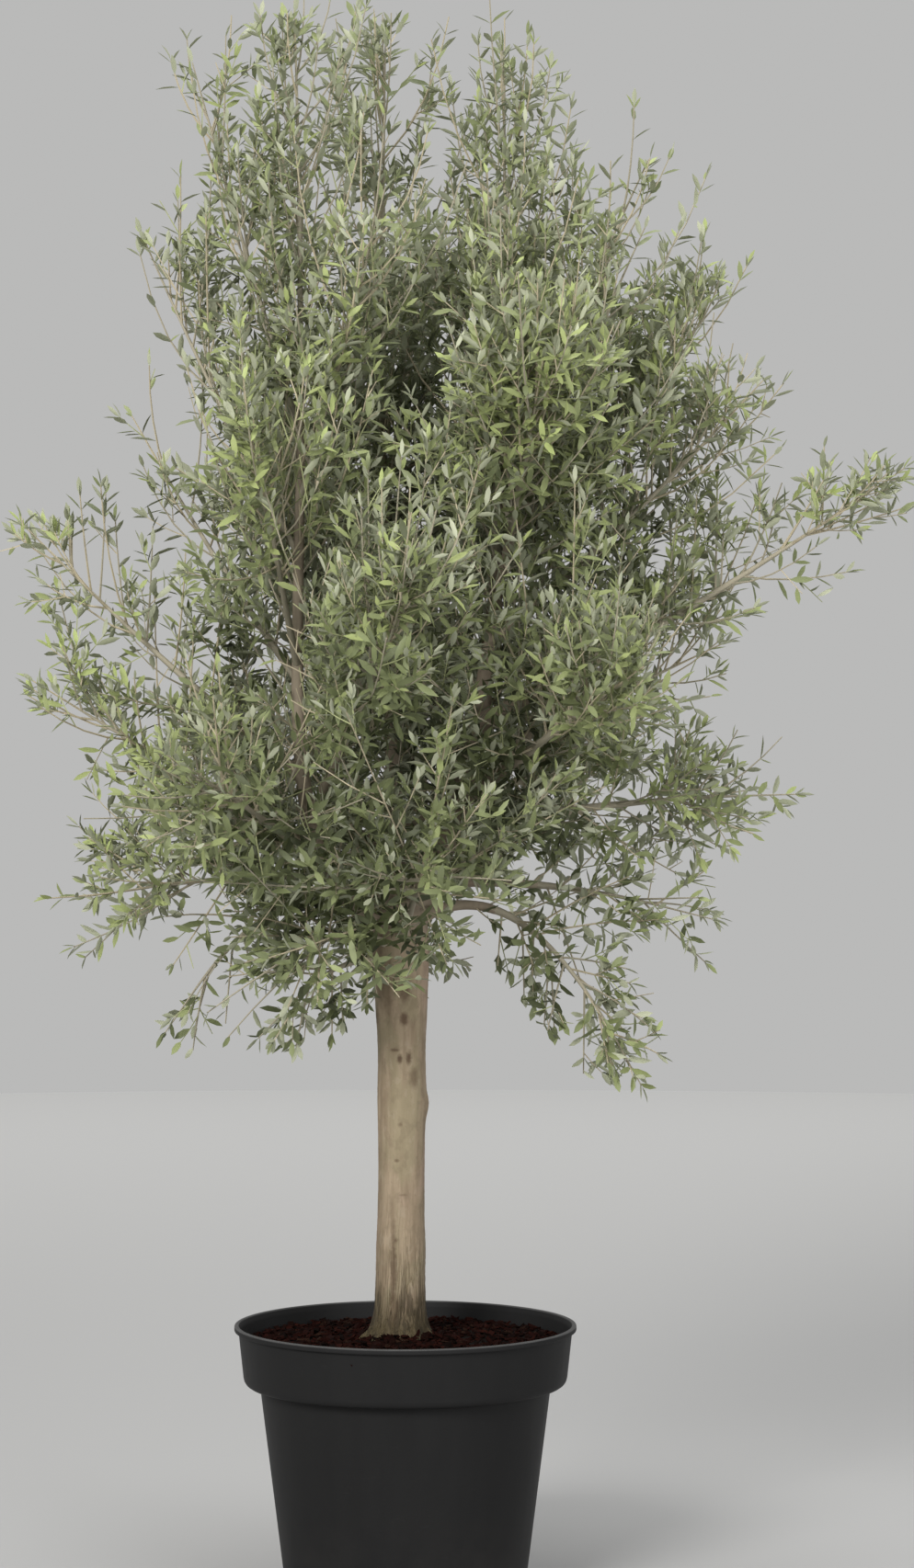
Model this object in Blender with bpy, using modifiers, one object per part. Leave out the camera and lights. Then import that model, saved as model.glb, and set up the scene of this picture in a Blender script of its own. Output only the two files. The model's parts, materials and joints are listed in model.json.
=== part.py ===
"""A potted olive tree: one clear trunk that forks into three leaders, with a loose crown of boughs and
leafy masses, standing in a plain black nursery pot filled with bark compost.

Metres, +Z up. The origin is under the middle of the pot, on the ground; +X is the long arm's side and
-Y the front. Run it with: blender --background --python part.py
"""

import math
import random
from collections import namedtuple

import bmesh
import bpy
import numpy as np
from mathutils import Matrix, Vector

# ---------------------------------------------------------------- driving sizes

TREE_HEIGHT = 2.345  # ground to the highest leaf
POT_HEIGHT = 0.400
RIM_RADIUS = 0.250
SOIL_HEIGHT = 0.380
FORK_HEIGHT = 0.965  # where the leaders' axes leave the trunk's
TRUNK_RADIUS = 0.0345  # at its waist
SEAT_GAP = 0.0004  # between two solids that meet

# The pot's wall, from the lip down. The collar is the wide band under the lip.
LIP_HEIGHT = 0.008
LIP_WIDTH = 0.006
WALL = 0.003
FLOOR = 0.004
COLLAR_TOP_RADIUS = 0.2440
COLLAR_FOOT_RADIUS = 0.2360
COLLAR_FOOT_HEIGHT = 0.328
SHOULDER_RADIUS = 0.2125
SHOULDER_HEIGHT = 0.310
BASE_RADIUS = 0.1740
BASE_EDGE = 0.006
POT_SIDES = 40
DRAIN_HOLES = 8
DRAIN_RADIUS = 0.009
DRAIN_CIRCLE = 0.135

SOIL_PAD_RADIUS = 0.075  # the flat that the trunk stands on
SOIL_EDGE_DROP = 0.006  # how much lower the compost lies at the pot's wall

TRUNK_FOOT_X = -0.009
TRUNK_BOW = 0.004
TRUNK_TOP = 1.020
TRUNK_SIDES = 16
FLARE_LOBES = 5
FLARE_LOBE_DEPTH = 0.10
TRUNK_RINGS = (  # height above the compost, radius as a share of the waist's
    (0.000, 1.56),
    (0.010, 1.38),
    (0.030, 1.20),
    (0.070, 1.08),
    (0.150, 1.02),
    (0.260, 0.98),
    (0.345, 1.04),
    (0.420, 1.03),
    (0.520, 1.14),
    (0.570, 1.22),
    (0.605, 1.16),
    (0.628, 0.88),
    (0.6396, 0.45),
)

LEAF_LENGTH = 0.115  # larger than life: each stands for a spray
LEAF_WIDTH = 0.034
LEAF_THICKNESS = 0.0030
END_ROOT = 0.0040  # how far the leaf on a twig's end is sunk into it
PAIR_ROOT = 0.0018  # how far a leaf at a twig's side is sunk past its middle
LEAF_SPREAD = math.radians(42)  # between a paired leaf and its twig
SHOOT_SPACING = 0.032  # along a mass's stem
SHOOT_RADIUS = 0.0034
SHOOT_TIP_RADIUS = 0.0026
STEM_TIP_RADIUS = 0.0030
LEAF_CLEARANCE = 0.0030  # between a leaf and any other limb or mass
LEAF_OVERHANG = 0.030  # how far a leaf's tip may stand out of its mass's space
MOST_LEAVES = 17  # on one mass
BOUGH_LEAST = 0.150  # a shorter bare run is part of its mass's own stem
BOUGH_RINGS = 4
SQUARE_RUN = 0.0015  # a short run that squares a limb's end to its path
GOLDEN_TURN = math.radians(137.5)

# A leader swings out from the trunk's head and then climbs: bearing in degrees from +X towards +Y,
# spread in metres, sweep is the climb over which it swings out, then its height and its radii.
Leader = namedtuple("Leader", "bearing spread sweep top foot_radius tip_radius sway")
LEADERS = {
    "leader_left": Leader(208, 0.165, 0.085, 1.760, 0.0145, 0.0055, 0.008),
    "leader_right": Leader(22, 0.185, 0.300, 1.740, 0.0240, 0.0060, 0.007),
    "leader_back": Leader(97, 0.200, 0.220, 1.740, 0.0180, 0.0055, 0.007),
}

# A limb leaves its stem at a height, on a bearing and at a rise, both in degrees. It reaches so many
# metres to its last leaf, with its tip lifted (+) or hanging (-) by arch times the reach. Its leaves
# spread to width on each side, and bare is the share of the reach that has none.
Limb = namedtuple("Limb", "name stem fork bearing rise reach arch width bare")
LIMBS = [
    Limb(*row)
    for row in (
        ("crest_left", "leader_left", 1.70, 174, 72, 0.55, 0.10, 0.085, 0.18),
        ("high_left", "leader_left", 1.52, 167, 60, 0.52, 0.14, 0.090, 0.22),
        ("upper_left", "leader_left", 1.34, 147, 49, 0.50, 0.12, 0.105, 0.24),
        ("mid_left", "leader_left", 1.20, 176, 38, 0.56, 0.10, 0.090, 0.34),
        ("wing_left", "leader_left", 1.09, 185, 30, 0.51, 0.02, 0.100, 0.38),
        ("low_left", "leader_left", 1.055, 181, 2, 0.39, -0.13, 0.120, 0.34),
        ("weep_left", "trunk", 0.975, 178, 40, 0.50, -1.10, 0.072, 0.46),
        ("weep_near", "trunk", 0.925, 208, 20, 0.29, -0.95, 0.080, 0.34),
        ("crest_right", "leader_right", 1.69, 349, 60, 0.47, 0.12, 0.075, 0.20),
        ("high_right", "leader_right", 1.55, 358, 44, 0.50, 0.10, 0.130, 0.24),
        ("upper_right", "leader_right", 1.40, 340, 37, 0.56, 0.12, 0.110, 0.36),
        ("arm_right", "leader_right", 1.28, 354, 26, 0.73, 0.10, 0.085, 0.40),
        ("mid_right", "leader_right", 1.22, 10, 25, 0.46, 0.00, 0.125, 0.36),
        ("wing_right", "leader_right", 1.12, 351, 12, 0.55, -0.11, 0.108, 0.38),
        ("low_right", "leader_right", 1.045, 1, 3, 0.45, -0.20, 0.085, 0.36),
        ("weep_right", "trunk", 0.975, 346, 38, 0.515, -1.25, 0.080, 0.36),
        ("weep_back", "trunk", 0.925, 50, 30, 0.20, -0.80, 0.070, 0.34),
        ("crest_front", "leader_left", 1.60, 302, 57, 0.48, 0.12, 0.130, 0.22),
        ("crest_middle", "leader_right", 1.50, 268, 68, 0.50, 0.05, 0.125, 0.26),
        ("crest_right_front", "leader_right", 1.57, 321, 55, 0.50, 0.10, 0.120, 0.26),
        ("high_front_right", "leader_right", 1.45, 278, 31, 0.56, 0.10, 0.155, 0.36),
        ("high_front_left", "leader_left", 1.36, 262, 40, 0.47, 0.12, 0.140, 0.30),
        ("mid_front", "leader_left", 1.14, 289, 32, 0.60, 0.05, 0.145, 0.40),
        ("mid_front_right", "leader_right", 1.16, 299, 20, 0.58, 0.00, 0.145, 0.40),
        ("mid_front_left", "leader_left", 1.07, 245, 20, 0.47, -0.02, 0.140, 0.38),
        ("low_front", "trunk", 0.955, 277, 24, 0.45, -0.12, 0.145, 0.32),
        ("low_front_left", "trunk", 0.945, 236, 22, 0.36, -0.42, 0.120, 0.36),
        ("crest_back", "leader_back", 1.58, 75, 60, 0.46, 0.10, 0.130, 0.14),
        ("high_back_right", "leader_back", 1.42, 39, 31, 0.50, 0.08, 0.145, 0.28),
        ("high_back_left", "leader_back", 1.34, 130, 42, 0.50, 0.08, 0.145, 0.28),
        ("mid_back", "leader_back", 1.22, 84, 26, 0.52, 0.00, 0.145, 0.36),
        ("mid_back_right", "leader_back", 1.12, 42, 17, 0.54, -0.03, 0.140, 0.40),
        ("mid_back_left", "leader_back", 1.08, 132, 23, 0.52, 0.00, 0.140, 0.38),
        ("low_back", "trunk", 0.950, 92, 20, 0.45, -0.12, 0.145, 0.32),
    )
]

# The masses that grow on from the leaders' tips: the way that the tip leans, and their half width.
Top = namedtuple("Top", "name stem height lean_x lean_y width")
TOPS = [
    Top("top_left", "leader_left", TREE_HEIGHT, -0.010, -0.010, 0.115),
    Top("top_right", "leader_right", 2.305, -0.006, -0.040, 0.130),
    Top("top_back", "leader_back", 2.342, 0.008, -0.085, 0.120),
]


# ---------------------------------------------------------------- paths

def trunk_axis(z):
    """The trunk's middle at a height: a slight bow to one side."""
    climb = (z - SOIL_HEIGHT) / (TRUNK_TOP - SOIL_HEIGHT)
    return Vector((TRUNK_FOOT_X + TRUNK_BOW * math.sin(math.pi * climb), 0, z))


def trunk_radius(z):
    heights = [SOIL_HEIGHT + rise for rise, _ in TRUNK_RINGS]
    return TRUNK_RADIUS * float(np.interp(z, heights, [share for _, share in TRUNK_RINGS]))


def leader_axis(name, z):
    """A leader's middle at a height. Below the fork it is the trunk's."""
    leader = LEADERS[name]
    foot = trunk_axis(FORK_HEIGHT)
    climb = max(0.0, z - FORK_HEIGHT)
    out = leader.spread * (1 - math.exp(-climb / leader.sweep))
    sway = leader.sway * math.sin(6 * climb) * min(1, 3 * climb)
    bearing = math.radians(leader.bearing)
    return Vector(
        (
            foot.x + out * math.cos(bearing) + sway * math.sin(bearing),
            foot.y + out * math.sin(bearing) - sway * math.cos(bearing),
            z,
        )
    )


def leader_radius(name, z):
    leader = LEADERS[name]
    climb = (z - FORK_HEIGHT) / (leader.top - FORK_HEIGHT)
    return leader.foot_radius + (leader.tip_radius - leader.foot_radius) * climb**0.75


def stem_axis(stem, z):
    return trunk_axis(z) if stem == "trunk" else leader_axis(stem, z)


def stem_radius(stem, z):
    return trunk_radius(z) if stem == "trunk" else leader_radius(stem, z)


def limb_point(limb, share):
    """The middle of a limb at a share of its reach: a straight run that lifts or hangs by its arch."""
    bearing, rise = math.radians(limb.bearing), math.radians(limb.rise)
    level = math.cos(rise) * share
    climb = math.sin(rise) * share + limb.arch * share**2
    way = Vector((level * math.cos(bearing), level * math.sin(bearing), climb))
    return stem_axis(limb.stem, limb.fork) + limb.reach * way


def bough_radius(limb, share):
    """Thin at the tip, and thicker towards a stem the further the limb reaches."""
    foot = min(0.0045 + 0.011 * limb.reach, 0.72 * stem_radius(limb.stem, limb.fork))
    return foot + (STEM_TIP_RADIUS - foot) * share**0.7


def top_point(top, share):
    foot = leader_axis(top.stem, LEADERS[top.stem].top)
    lean = Vector((top.lean_x, top.lean_y, top.height - foot.z))
    return foot + Vector((lean.x * share**2, lean.y * share**2, lean.z * share))


# ---------------------------------------------------------------- the masses' spaces

class Mass:
    """One mass of foliage: its stem's path, and the chain of balls that is its space."""

    BALLS = 8
    RINGS = 4

    def __init__(self, name, path, start, leafy, width, reach, foot_radius):
        self.name = name
        self.start = start  # the share at which its wood begins
        self.leafy = leafy  # the share at which its leaves begin
        self.width = width
        self.reach = reach
        self.foot_radius = foot_radius
        self.end = 1 - 0.95 * LEAF_LENGTH / reach  # its last leaf goes on to the full reach
        # The stem is straight between its rings. The short first run squares its foot to the path.
        self.shares = np.linspace(start, self.end, self.RINGS)
        self.shares = np.insert(self.shares, 1, start + SQUARE_RUN / reach)
        self.rings = np.array([path(share) for share in self.shares])
        along = np.linspace(0, 1, self.BALLS)
        last = 1 - 0.40 * width / reach
        self.centres = np.array([path(leafy + (last - leafy) * u) for u in along])
        self.radii = width * (0.40 + 0.60 * np.sin(math.pi * along) ** 0.8)

    def path(self, share):
        """The middle of the stem at a share of the reach."""
        return Vector([float(np.interp(share, self.shares, line)) for line in self.rings.T])

    def depth(self, points):
        """How far each point is outside this mass's space, and below 0 inside it."""
        apart = np.linalg.norm(points[:, None] - self.centres[None], axis=2)
        return (apart - self.radii).min(axis=1)

    def radius(self, share):
        along = (share - self.start) / (1 - self.start)
        return self.foot_radius + (STEM_TIP_RADIUS - self.foot_radius) * along**0.7


def has_bough(limb):
    return limb.bare * limb.reach > BOUGH_LEAST


def masses():
    made = []
    for top in TOPS:
        foot = leader_axis(top.stem, LEADERS[top.stem].top)
        reach = top.height - foot.z
        path = lambda share, top=top: top_point(top, share)
        thick = LEADERS[top.stem].tip_radius
        made.append(Mass(top.name, path, 2 * SEAT_GAP / reach, 0.06, top.width, reach, thick))
    for limb in LIMBS:
        path = lambda share, limb=limb: limb_point(limb, share)
        start = limb.bare + 1.2 * SEAT_GAP / limb.reach if has_bough(limb) else 0
        thick = bough_radius(limb, start)
        made.append(Mass(limb.name, path, start, limb.bare, limb.width, limb.reach, thick))
    return made


class Wood:
    """Every limb as a chain of cones, to keep leaves and shoots clear of them."""

    def __init__(self):
        self.starts, self.ends, self.thick, self.owners = [], [], [], []

    def add(self, owner, points, radii):
        for i in range(len(points) - 1):
            self.starts.append(points[i])
            self.ends.append(points[i + 1])
            self.thick.append(max(radii[i], radii[i + 1]))
            self.owners.append(owner)

    def clear(self, points, owner):
        """How far each point is from the nearest wood that isn't the owner's."""
        others = [i for i, name in enumerate(self.owners) if name != owner]
        a = np.array([self.starts[i] for i in others])
        b = np.array([self.ends[i] for i in others])
        thick = np.array([self.thick[i] for i in others])
        run = b - a
        share = np.einsum("pij,ij->pi", points[:, None] - a[None], run) / (run**2).sum(axis=1)
        near = a[None] + np.clip(share, 0, 1)[..., None] * run[None]
        return (np.linalg.norm(points[:, None] - near, axis=2) - thick).min(axis=1)


class Crown:
    """All the masses and all the wood, and what may grow where."""

    def __init__(self):
        self.masses = masses()
        self.wood = Wood()

    def free(self, points, mass, overhang=0.0):
        """True where a point is in this mass's space, nearer to it than to another's, and off the wood."""
        points = np.asarray(points, float).reshape(-1, 3)
        own = mass.depth(points)
        others = np.min([m.depth(points) for m in self.masses if m is not mass], axis=0)
        off_wood = self.wood.clear(points, mass.name)
        return (own < overhang) & (own + LEAF_CLEARANCE < others) & (off_wood > LEAF_CLEARANCE)


# ---------------------------------------------------------------- making solids

def clear_scene():
    for obj in list(bpy.data.objects):
        bpy.data.objects.remove(obj)
    for collection in list(bpy.data.collections):
        bpy.data.collections.remove(collection)


def new_collection(name, parent=None):
    collection = bpy.data.collections.new(name)
    (parent or bpy.context.scene.collection).children.link(collection)
    return collection


def add_object(name, data, collection):
    obj = bpy.data.objects.new(name, data)
    collection.objects.link(obj)
    return obj


def material(name, colour, roughness):
    made = bpy.data.materials.new(name)
    made.use_nodes = True
    shader = made.node_tree.nodes["Principled BSDF"]
    shader.inputs["Base Color"].default_value = (*colour, 1)
    shader.inputs["Roughness"].default_value = roughness
    shader.inputs["Metallic"].default_value = 0
    made.diffuse_color = (*colour, 1)
    return made


def evaluated_mesh(obj):
    """The object's mesh with its modifiers, and with a curve's loose caps welded on."""
    graph = bpy.context.evaluated_depsgraph_get()
    mesh = bpy.data.meshes.new_from_object(obj.evaluated_get(graph))
    work = bmesh.new()
    work.from_mesh(mesh)
    bmesh.ops.remove_doubles(work, verts=work.verts, dist=1e-6)
    bmesh.ops.recalc_face_normals(work, faces=work.faces)
    work.to_mesh(mesh)
    work.free()
    return mesh


def rod(name, points, radii, sides, collection):
    """A tapering round limb through points: a bevelled poly curve, made a mesh."""
    curve = bpy.data.curves.new(name, "CURVE")
    curve.dimensions = "3D"
    curve.bevel_depth = 1
    curve.bevel_resolution = (sides - 4) // 2
    curve.use_fill_caps = True
    spline = curve.splines.new("POLY")
    spline.points.add(len(points) - 1)
    for spot, place, radius in zip(spline.points, points, radii):
        spot.co = (*place, 1)
        spot.radius = radius
    guide = add_object(name + "_guide", curve, collection)
    bpy.context.view_layer.update()
    made = add_object(name, evaluated_mesh(guide), collection)
    made.matrix_world = guide.matrix_world
    bpy.data.objects.remove(guide)
    return made


def boolean(obj, operation, operand=None, collection=None, solver="EXACT"):
    """Adds a Boolean, applies it and returns the object."""
    modifier = obj.modifiers.new(operation.lower(), "BOOLEAN")
    modifier.operation = operation
    modifier.solver = solver
    if collection:
        modifier.operand_type = "COLLECTION"
        modifier.collection = collection
    else:
        modifier.object = operand
    mesh = evaluated_mesh(obj)
    obj.modifiers.clear()
    old, obj.data = obj.data, mesh
    bpy.data.meshes.remove(old)
    return obj


def along_z(direction):
    """The rotation that carries +Z to a direction."""
    return Vector((0, 0, 1)).rotation_difference(Vector(direction)).to_matrix().to_4x4()


def twig(name, start, end, radius, collection):
    """A straight three-sided twig, tapering to its tip."""
    start, end = Vector(start), Vector(end)
    run = end - start
    mesh = bpy.data.meshes.new(name)
    work = bmesh.new()
    bmesh.ops.create_cone(
        work,
        cap_ends=True,
        segments=3,
        radius1=radius,
        radius2=SHOOT_TIP_RADIUS,
        depth=run.length,
        matrix=Matrix.Translation((start + end) / 2) @ along_z(run),
    )
    work.to_mesh(mesh)
    work.free()
    return add_object(name, mesh, collection)


def leaf_frame(root, way, face, sunk):
    """A leaf's own axes, with Y along it and Z out of its upper face, set at its sunk root."""
    way = Vector(way).normalized()
    face = Vector(face)
    face = (face - face.dot(way) * way).normalized()
    turned = Matrix((way.cross(face), way, face)).transposed().to_4x4()
    return Matrix.Translation(Vector(root) - sunk * way) @ turned


def leaf(name, frame, collection):
    """A lozenge blade of eight faces, with its root at the frame's origin."""
    mesh = bpy.data.meshes.new(name)
    work = bmesh.new()
    bmesh.ops.create_uvsphere(work, u_segments=4, v_segments=2, radius=0.5)
    quarter = Matrix.Rotation(math.radians(90), 4, "X")  # its poles become root and tip
    size = Matrix.Diagonal((LEAF_WIDTH, LEAF_LENGTH, LEAF_THICKNESS, 1))
    middle = Matrix.Translation((0, 0.5 * LEAF_LENGTH, 0))
    bmesh.ops.transform(work, matrix=frame @ middle @ size @ quarter, verts=work.verts)
    work.to_mesh(mesh)
    work.free()
    return add_object(name, mesh, collection)


def leaf_outline(frame):
    """Points all over a leaf but its sunk root, to test against its neighbours."""
    spots = []
    for along, half in ((0.25, 0.35), (0.4, 0.5), (0.55, 0.45), (0.75, 0.25), (0.9, 0)):
        for side in (-half, 0, half):
            spots.append(frame @ Vector((side * LEAF_WIDTH, along * LEAF_LENGTH, 0)))
    return spots


# ---------------------------------------------------------------- the pot and its compost

def turned(name, profile, collection):
    """A profile of (radius, height) pairs, turned about +Z."""
    mesh = bpy.data.meshes.new(name)
    points = [(radius, 0, height) for radius, height in profile]
    mesh.from_pydata(points, [(i, i + 1) for i in range(len(points) - 1)], [])
    obj = add_object(name, mesh, collection)
    screw = obj.modifiers.new("turned", "SCREW")
    screw.axis = "Z"
    screw.steps = POT_SIDES
    screw.render_steps = POT_SIDES
    screw.use_merge_vertices = True
    screw.merge_threshold = 0.0001
    return obj


def pot_profile():
    """Down the pot's outside to its underside's middle, then up the inside to the lip."""
    lip_foot = POT_HEIGHT - LIP_HEIGHT
    inside = [
        (0, FLOOR),
        (BASE_RADIUS - WALL, FLOOR),
        (SHOULDER_RADIUS - WALL, SHOULDER_HEIGHT),
        (COLLAR_FOOT_RADIUS - WALL, COLLAR_FOOT_HEIGHT),
        (COLLAR_TOP_RADIUS - WALL, lip_foot),
        (RIM_RADIUS - LIP_WIDTH, POT_HEIGHT),
    ]
    outside = [
        (RIM_RADIUS - LIP_WIDTH, POT_HEIGHT),
        (RIM_RADIUS - 0.25 * LIP_WIDTH, POT_HEIGHT - 0.0008),
        (RIM_RADIUS, POT_HEIGHT - 0.30 * LIP_HEIGHT),
        (RIM_RADIUS - 0.0008, lip_foot),
        (COLLAR_TOP_RADIUS, lip_foot),
        (COLLAR_FOOT_RADIUS, COLLAR_FOOT_HEIGHT),
        (COLLAR_FOOT_RADIUS - 0.004, COLLAR_FOOT_HEIGHT - 0.009),
        (SHOULDER_RADIUS, SHOULDER_HEIGHT),
        (BASE_RADIUS, BASE_EDGE),
        (BASE_RADIUS - 0.4 * BASE_EDGE, 0.3 * BASE_EDGE),
        (BASE_RADIUS - BASE_EDGE, 0),
        (0, 0),
    ]
    return outside + inside


def make_pot(collection, finish):
    pot = turned("pot", pot_profile(), collection)
    drills = new_collection("drills")
    for i in range(DRAIN_HOLES):
        bearing = 2 * math.pi * (i + 0.5) / DRAIN_HOLES
        mesh = bpy.data.meshes.new("drill")
        work = bmesh.new()
        bmesh.ops.create_cone(
            work,
            cap_ends=True,
            segments=10,
            radius1=DRAIN_RADIUS,
            radius2=DRAIN_RADIUS,
            depth=4 * FLOOR,
        )
        work.to_mesh(mesh)
        work.free()
        drill = add_object(f"drill_{i}", mesh, drills)
        drill.location = (DRAIN_CIRCLE * math.cos(bearing), DRAIN_CIRCLE * math.sin(bearing), 0)
        drill.hide_render = True
        drill.display_type = "WIRE"
    bpy.context.view_layer.update()
    boolean(pot, "DIFFERENCE", collection=drills)
    remove_collection(drills)
    pot.data.materials.append(finish)
    return pot


def make_compost(collection, finish):
    """The pot's filling, with a flat pad round the trunk and a low edge at the wall."""
    gap = SEAT_GAP + WALL
    slope = (SHOULDER_RADIUS - BASE_RADIUS) / (SHOULDER_HEIGHT - FLOOR)
    floor = FLOOR + SEAT_GAP
    edge = SOIL_HEIGHT - SOIL_EDGE_DROP
    rise = (edge - COLLAR_FOOT_HEIGHT) / (POT_HEIGHT - LIP_HEIGHT - COLLAR_FOOT_HEIGHT)
    edge_radius = COLLAR_FOOT_RADIUS + rise * (COLLAR_TOP_RADIUS - COLLAR_FOOT_RADIUS)
    profile = [
        (0, SOIL_HEIGHT),
        (SOIL_PAD_RADIUS, SOIL_HEIGHT),
        (0.45 * RIM_RADIUS, SOIL_HEIGHT + 0.004),
        (0.72 * RIM_RADIUS, SOIL_HEIGHT - 0.001),
        (edge_radius - gap, edge),
        (COLLAR_FOOT_RADIUS - gap, COLLAR_FOOT_HEIGHT + SEAT_GAP),
        (SHOULDER_RADIUS - gap, SHOULDER_HEIGHT + SEAT_GAP),
        (BASE_RADIUS + slope * SEAT_GAP - gap, floor),
        (0, floor),
    ]
    compost = turned("compost", profile, collection)
    compost.data.materials.append(finish)
    return compost


# ---------------------------------------------------------------- the wood

def make_trunk(collection, finish):
    """A loft of round rings whose foot spreads into lobes, one for each main root."""
    work = bmesh.new()
    rings = []
    for rise, share in TRUNK_RINGS:
        height = SOIL_HEIGHT + SEAT_GAP + rise
        middle = trunk_axis(height)
        lobed = FLARE_LOBE_DEPTH * max(0, share - 1.05) / 0.5 * (1 if rise < 0.2 else 0)
        ring = []
        for i in range(TRUNK_SIDES):
            angle = 2 * math.pi * i / TRUNK_SIDES
            radius = TRUNK_RADIUS * share * (1 + lobed * math.cos(FLARE_LOBES * angle + 0.6))
            place = middle + radius * Vector((math.cos(angle), math.sin(angle), 0))
            ring.append(work.verts.new(place))
        rings.append(ring)
    for low, high in zip(rings, rings[1:]):
        for i in range(TRUNK_SIDES):
            after = (i + 1) % TRUNK_SIDES
            work.faces.new((low[i], low[after], high[after], high[i]))
    work.faces.new(list(reversed(rings[0])))
    work.faces.new(rings[-1])
    mesh = bpy.data.meshes.new("trunk")
    work.to_mesh(mesh)
    work.free()
    trunk = add_object("trunk", mesh, collection)
    trunk.data.materials.append(finish)
    return trunk


def leader_run(name, rings, swell=0.0):
    heights = [
        FORK_HEIGHT + (LEADERS[name].top - FORK_HEIGHT) * (i / (rings - 1)) ** 1.6
        for i in range(rings)
    ]
    points = [leader_axis(name, z) for z in heights]
    return points, [leader_radius(name, z) + swell for z in heights]


def bough_run(limb):
    shares = list(np.linspace(0, limb.bare, BOUGH_RINGS))
    shares.insert(-1, limb.bare - SQUARE_RUN / limb.reach)
    return [limb_point(limb, s) for s in shares], [bough_radius(limb, s) for s in shares]


def mass_run(mass):
    return [Vector(ring) for ring in mass.rings], [mass.radius(s) for s in mass.shares]


def swollen_trunk(trunk, collection):
    """A copy of the trunk that stands the seating gap outside it."""
    copy = add_object("trunk_room", trunk.data.copy(), collection)
    swell = copy.modifiers.new("room", "DISPLACE")
    swell.strength = SEAT_GAP
    swell.mid_level = 0
    copy.data = evaluated_mesh(copy)
    copy.modifiers.clear()
    return copy


LEADER_RINGS = 13
LEADER_SIDES = 8
BOUGH_SIDES = 6


def make_wood(collection, crown, finish):
    """The trunk, the leaders and the boughs, each cut to sit on what carries it."""
    rooms_kept = new_collection("rooms")
    trunk = make_trunk(collection, finish)
    rooms = {"trunk": swollen_trunk(trunk, rooms_kept)}
    for name in LEADERS:
        leader = rod(name, *leader_run(name, LEADER_RINGS), LEADER_SIDES, collection)
        for room in rooms.values():
            boolean(leader, "DIFFERENCE", room)
        keep_biggest(leader)
        room_run = leader_run(name, LEADER_RINGS, SEAT_GAP)
        rooms[name] = rod(name + "_room", *room_run, LEADER_SIDES, rooms_kept)
        leader.data.materials.append(finish)
        crown.wood.add(name, *leader_run(name, LEADER_RINGS))
    for limb in LIMBS:
        if has_bough(limb):
            bough = rod("bough_" + limb.name, *bough_run(limb), BOUGH_SIDES, collection)
            for room in rooms.values():
                boolean(bough, "DIFFERENCE", room)
            keep_biggest(bough)
            bough.data.materials.append(finish)
            crown.wood.add(bough.name, *bough_run(limb))
    heights = [SOIL_HEIGHT + rise for rise, _ in TRUNK_RINGS]
    crown.wood.add("trunk", [trunk_axis(z) for z in heights], [trunk_radius(z) for z in heights])
    return rooms, rooms_kept


def keep_biggest(obj):
    """Drops the scraps that a cut leaves on the far side of what it seats against."""
    work = bmesh.new()
    work.from_mesh(obj.data)
    left = set(work.verts)
    shells = []
    while left:
        shell, edge = set(), [left.pop()]
        while edge:
            vert = edge.pop()
            shell.add(vert)
            for link in vert.link_edges:
                other = link.other_vert(vert)
                if other in left:
                    left.discard(other)
                    edge.append(other)
        shells.append(shell)
    shells.sort(key=lambda shell: -max(vert.co.z for vert in shell) + -len(shell))
    for shell in shells[1:]:
        bmesh.ops.delete(work, geom=list(shell), context="VERTS")
    work.to_mesh(obj.data)
    work.free()


def remove_collection(collection):
    for obj in list(collection.objects):
        bpy.data.objects.remove(obj)
    bpy.data.collections.remove(collection)


# ---------------------------------------------------------------- the foliage

def side_shoots(mass, crown):
    """The shoots off a mass's stem: each a golden turn on from the last, wide low down and closing
    towards the tip, and as long as the mass's space lets it be."""
    dice = random.Random(mass.name)
    count = max(3, round((mass.end - mass.leafy) * mass.reach / SHOOT_SPACING))
    found = []
    for i in range(count):
        along = (i + 0.2) / count
        share = mass.leafy + (mass.end - mass.leafy) * along
        start = mass.path(share)
        ahead = (mass.path(share + 0.01) - start).normalized()
        across = ahead.orthogonal().normalized()
        across.rotate(Matrix.Rotation(i * GOLDEN_TURN + dice.uniform(-0.35, 0.35), 3, ahead))
        spread = math.radians(66 - 30 * along + dice.uniform(-6, 6))
        way = ahead * math.cos(spread) + across * math.sin(spread)
        way = (way + Vector((0, 0, 0.15))).normalized()
        room = free_length(start, way, mass, crown)
        if room > 0.8 * LEAF_LENGTH:
            found.append((start, way, min(room, 2.2 * mass.width), mass.radius(share)))
    return found


def free_length(start, way, mass, crown):
    """How far a straight shoot can run inside its mass's space."""
    step = 0.006
    spots = [start + way * step * (i + 3) for i in range(60)]
    free = crown.free(spots, mass)
    stop = int(np.argmin(free)) if not free.all() else len(spots)
    return step * (stop + 2) if stop else 0


class Spray:
    """The leaves of one mass that have been let in so far."""

    def __init__(self, mass, crown):
        self.mass, self.crown = mass, crown
        self.frames, self.ribs = [], Wood()

    def offer(self, frame):
        """Takes a leaf if all of it lies in the mass's free space and it crosses no other leaf."""
        outline = np.array(leaf_outline(frame))
        if not self.crown.free(outline, self.mass, LEAF_OVERHANG).all():
            return False
        if self.frames and self.ribs.clear(outline, None).min() < 0.5 * LEAF_CLEARANCE:
            return False
        self.take(frame)
        return True

    def take(self, frame):
        self.frames.append(frame)
        rib = [frame @ Vector((0, share * LEAF_LENGTH, 0)) for share in (0.1, 0.5, 0.97)]
        self.ribs.add("leaf", rib, [0.002, 0.004, 0.002])


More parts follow.
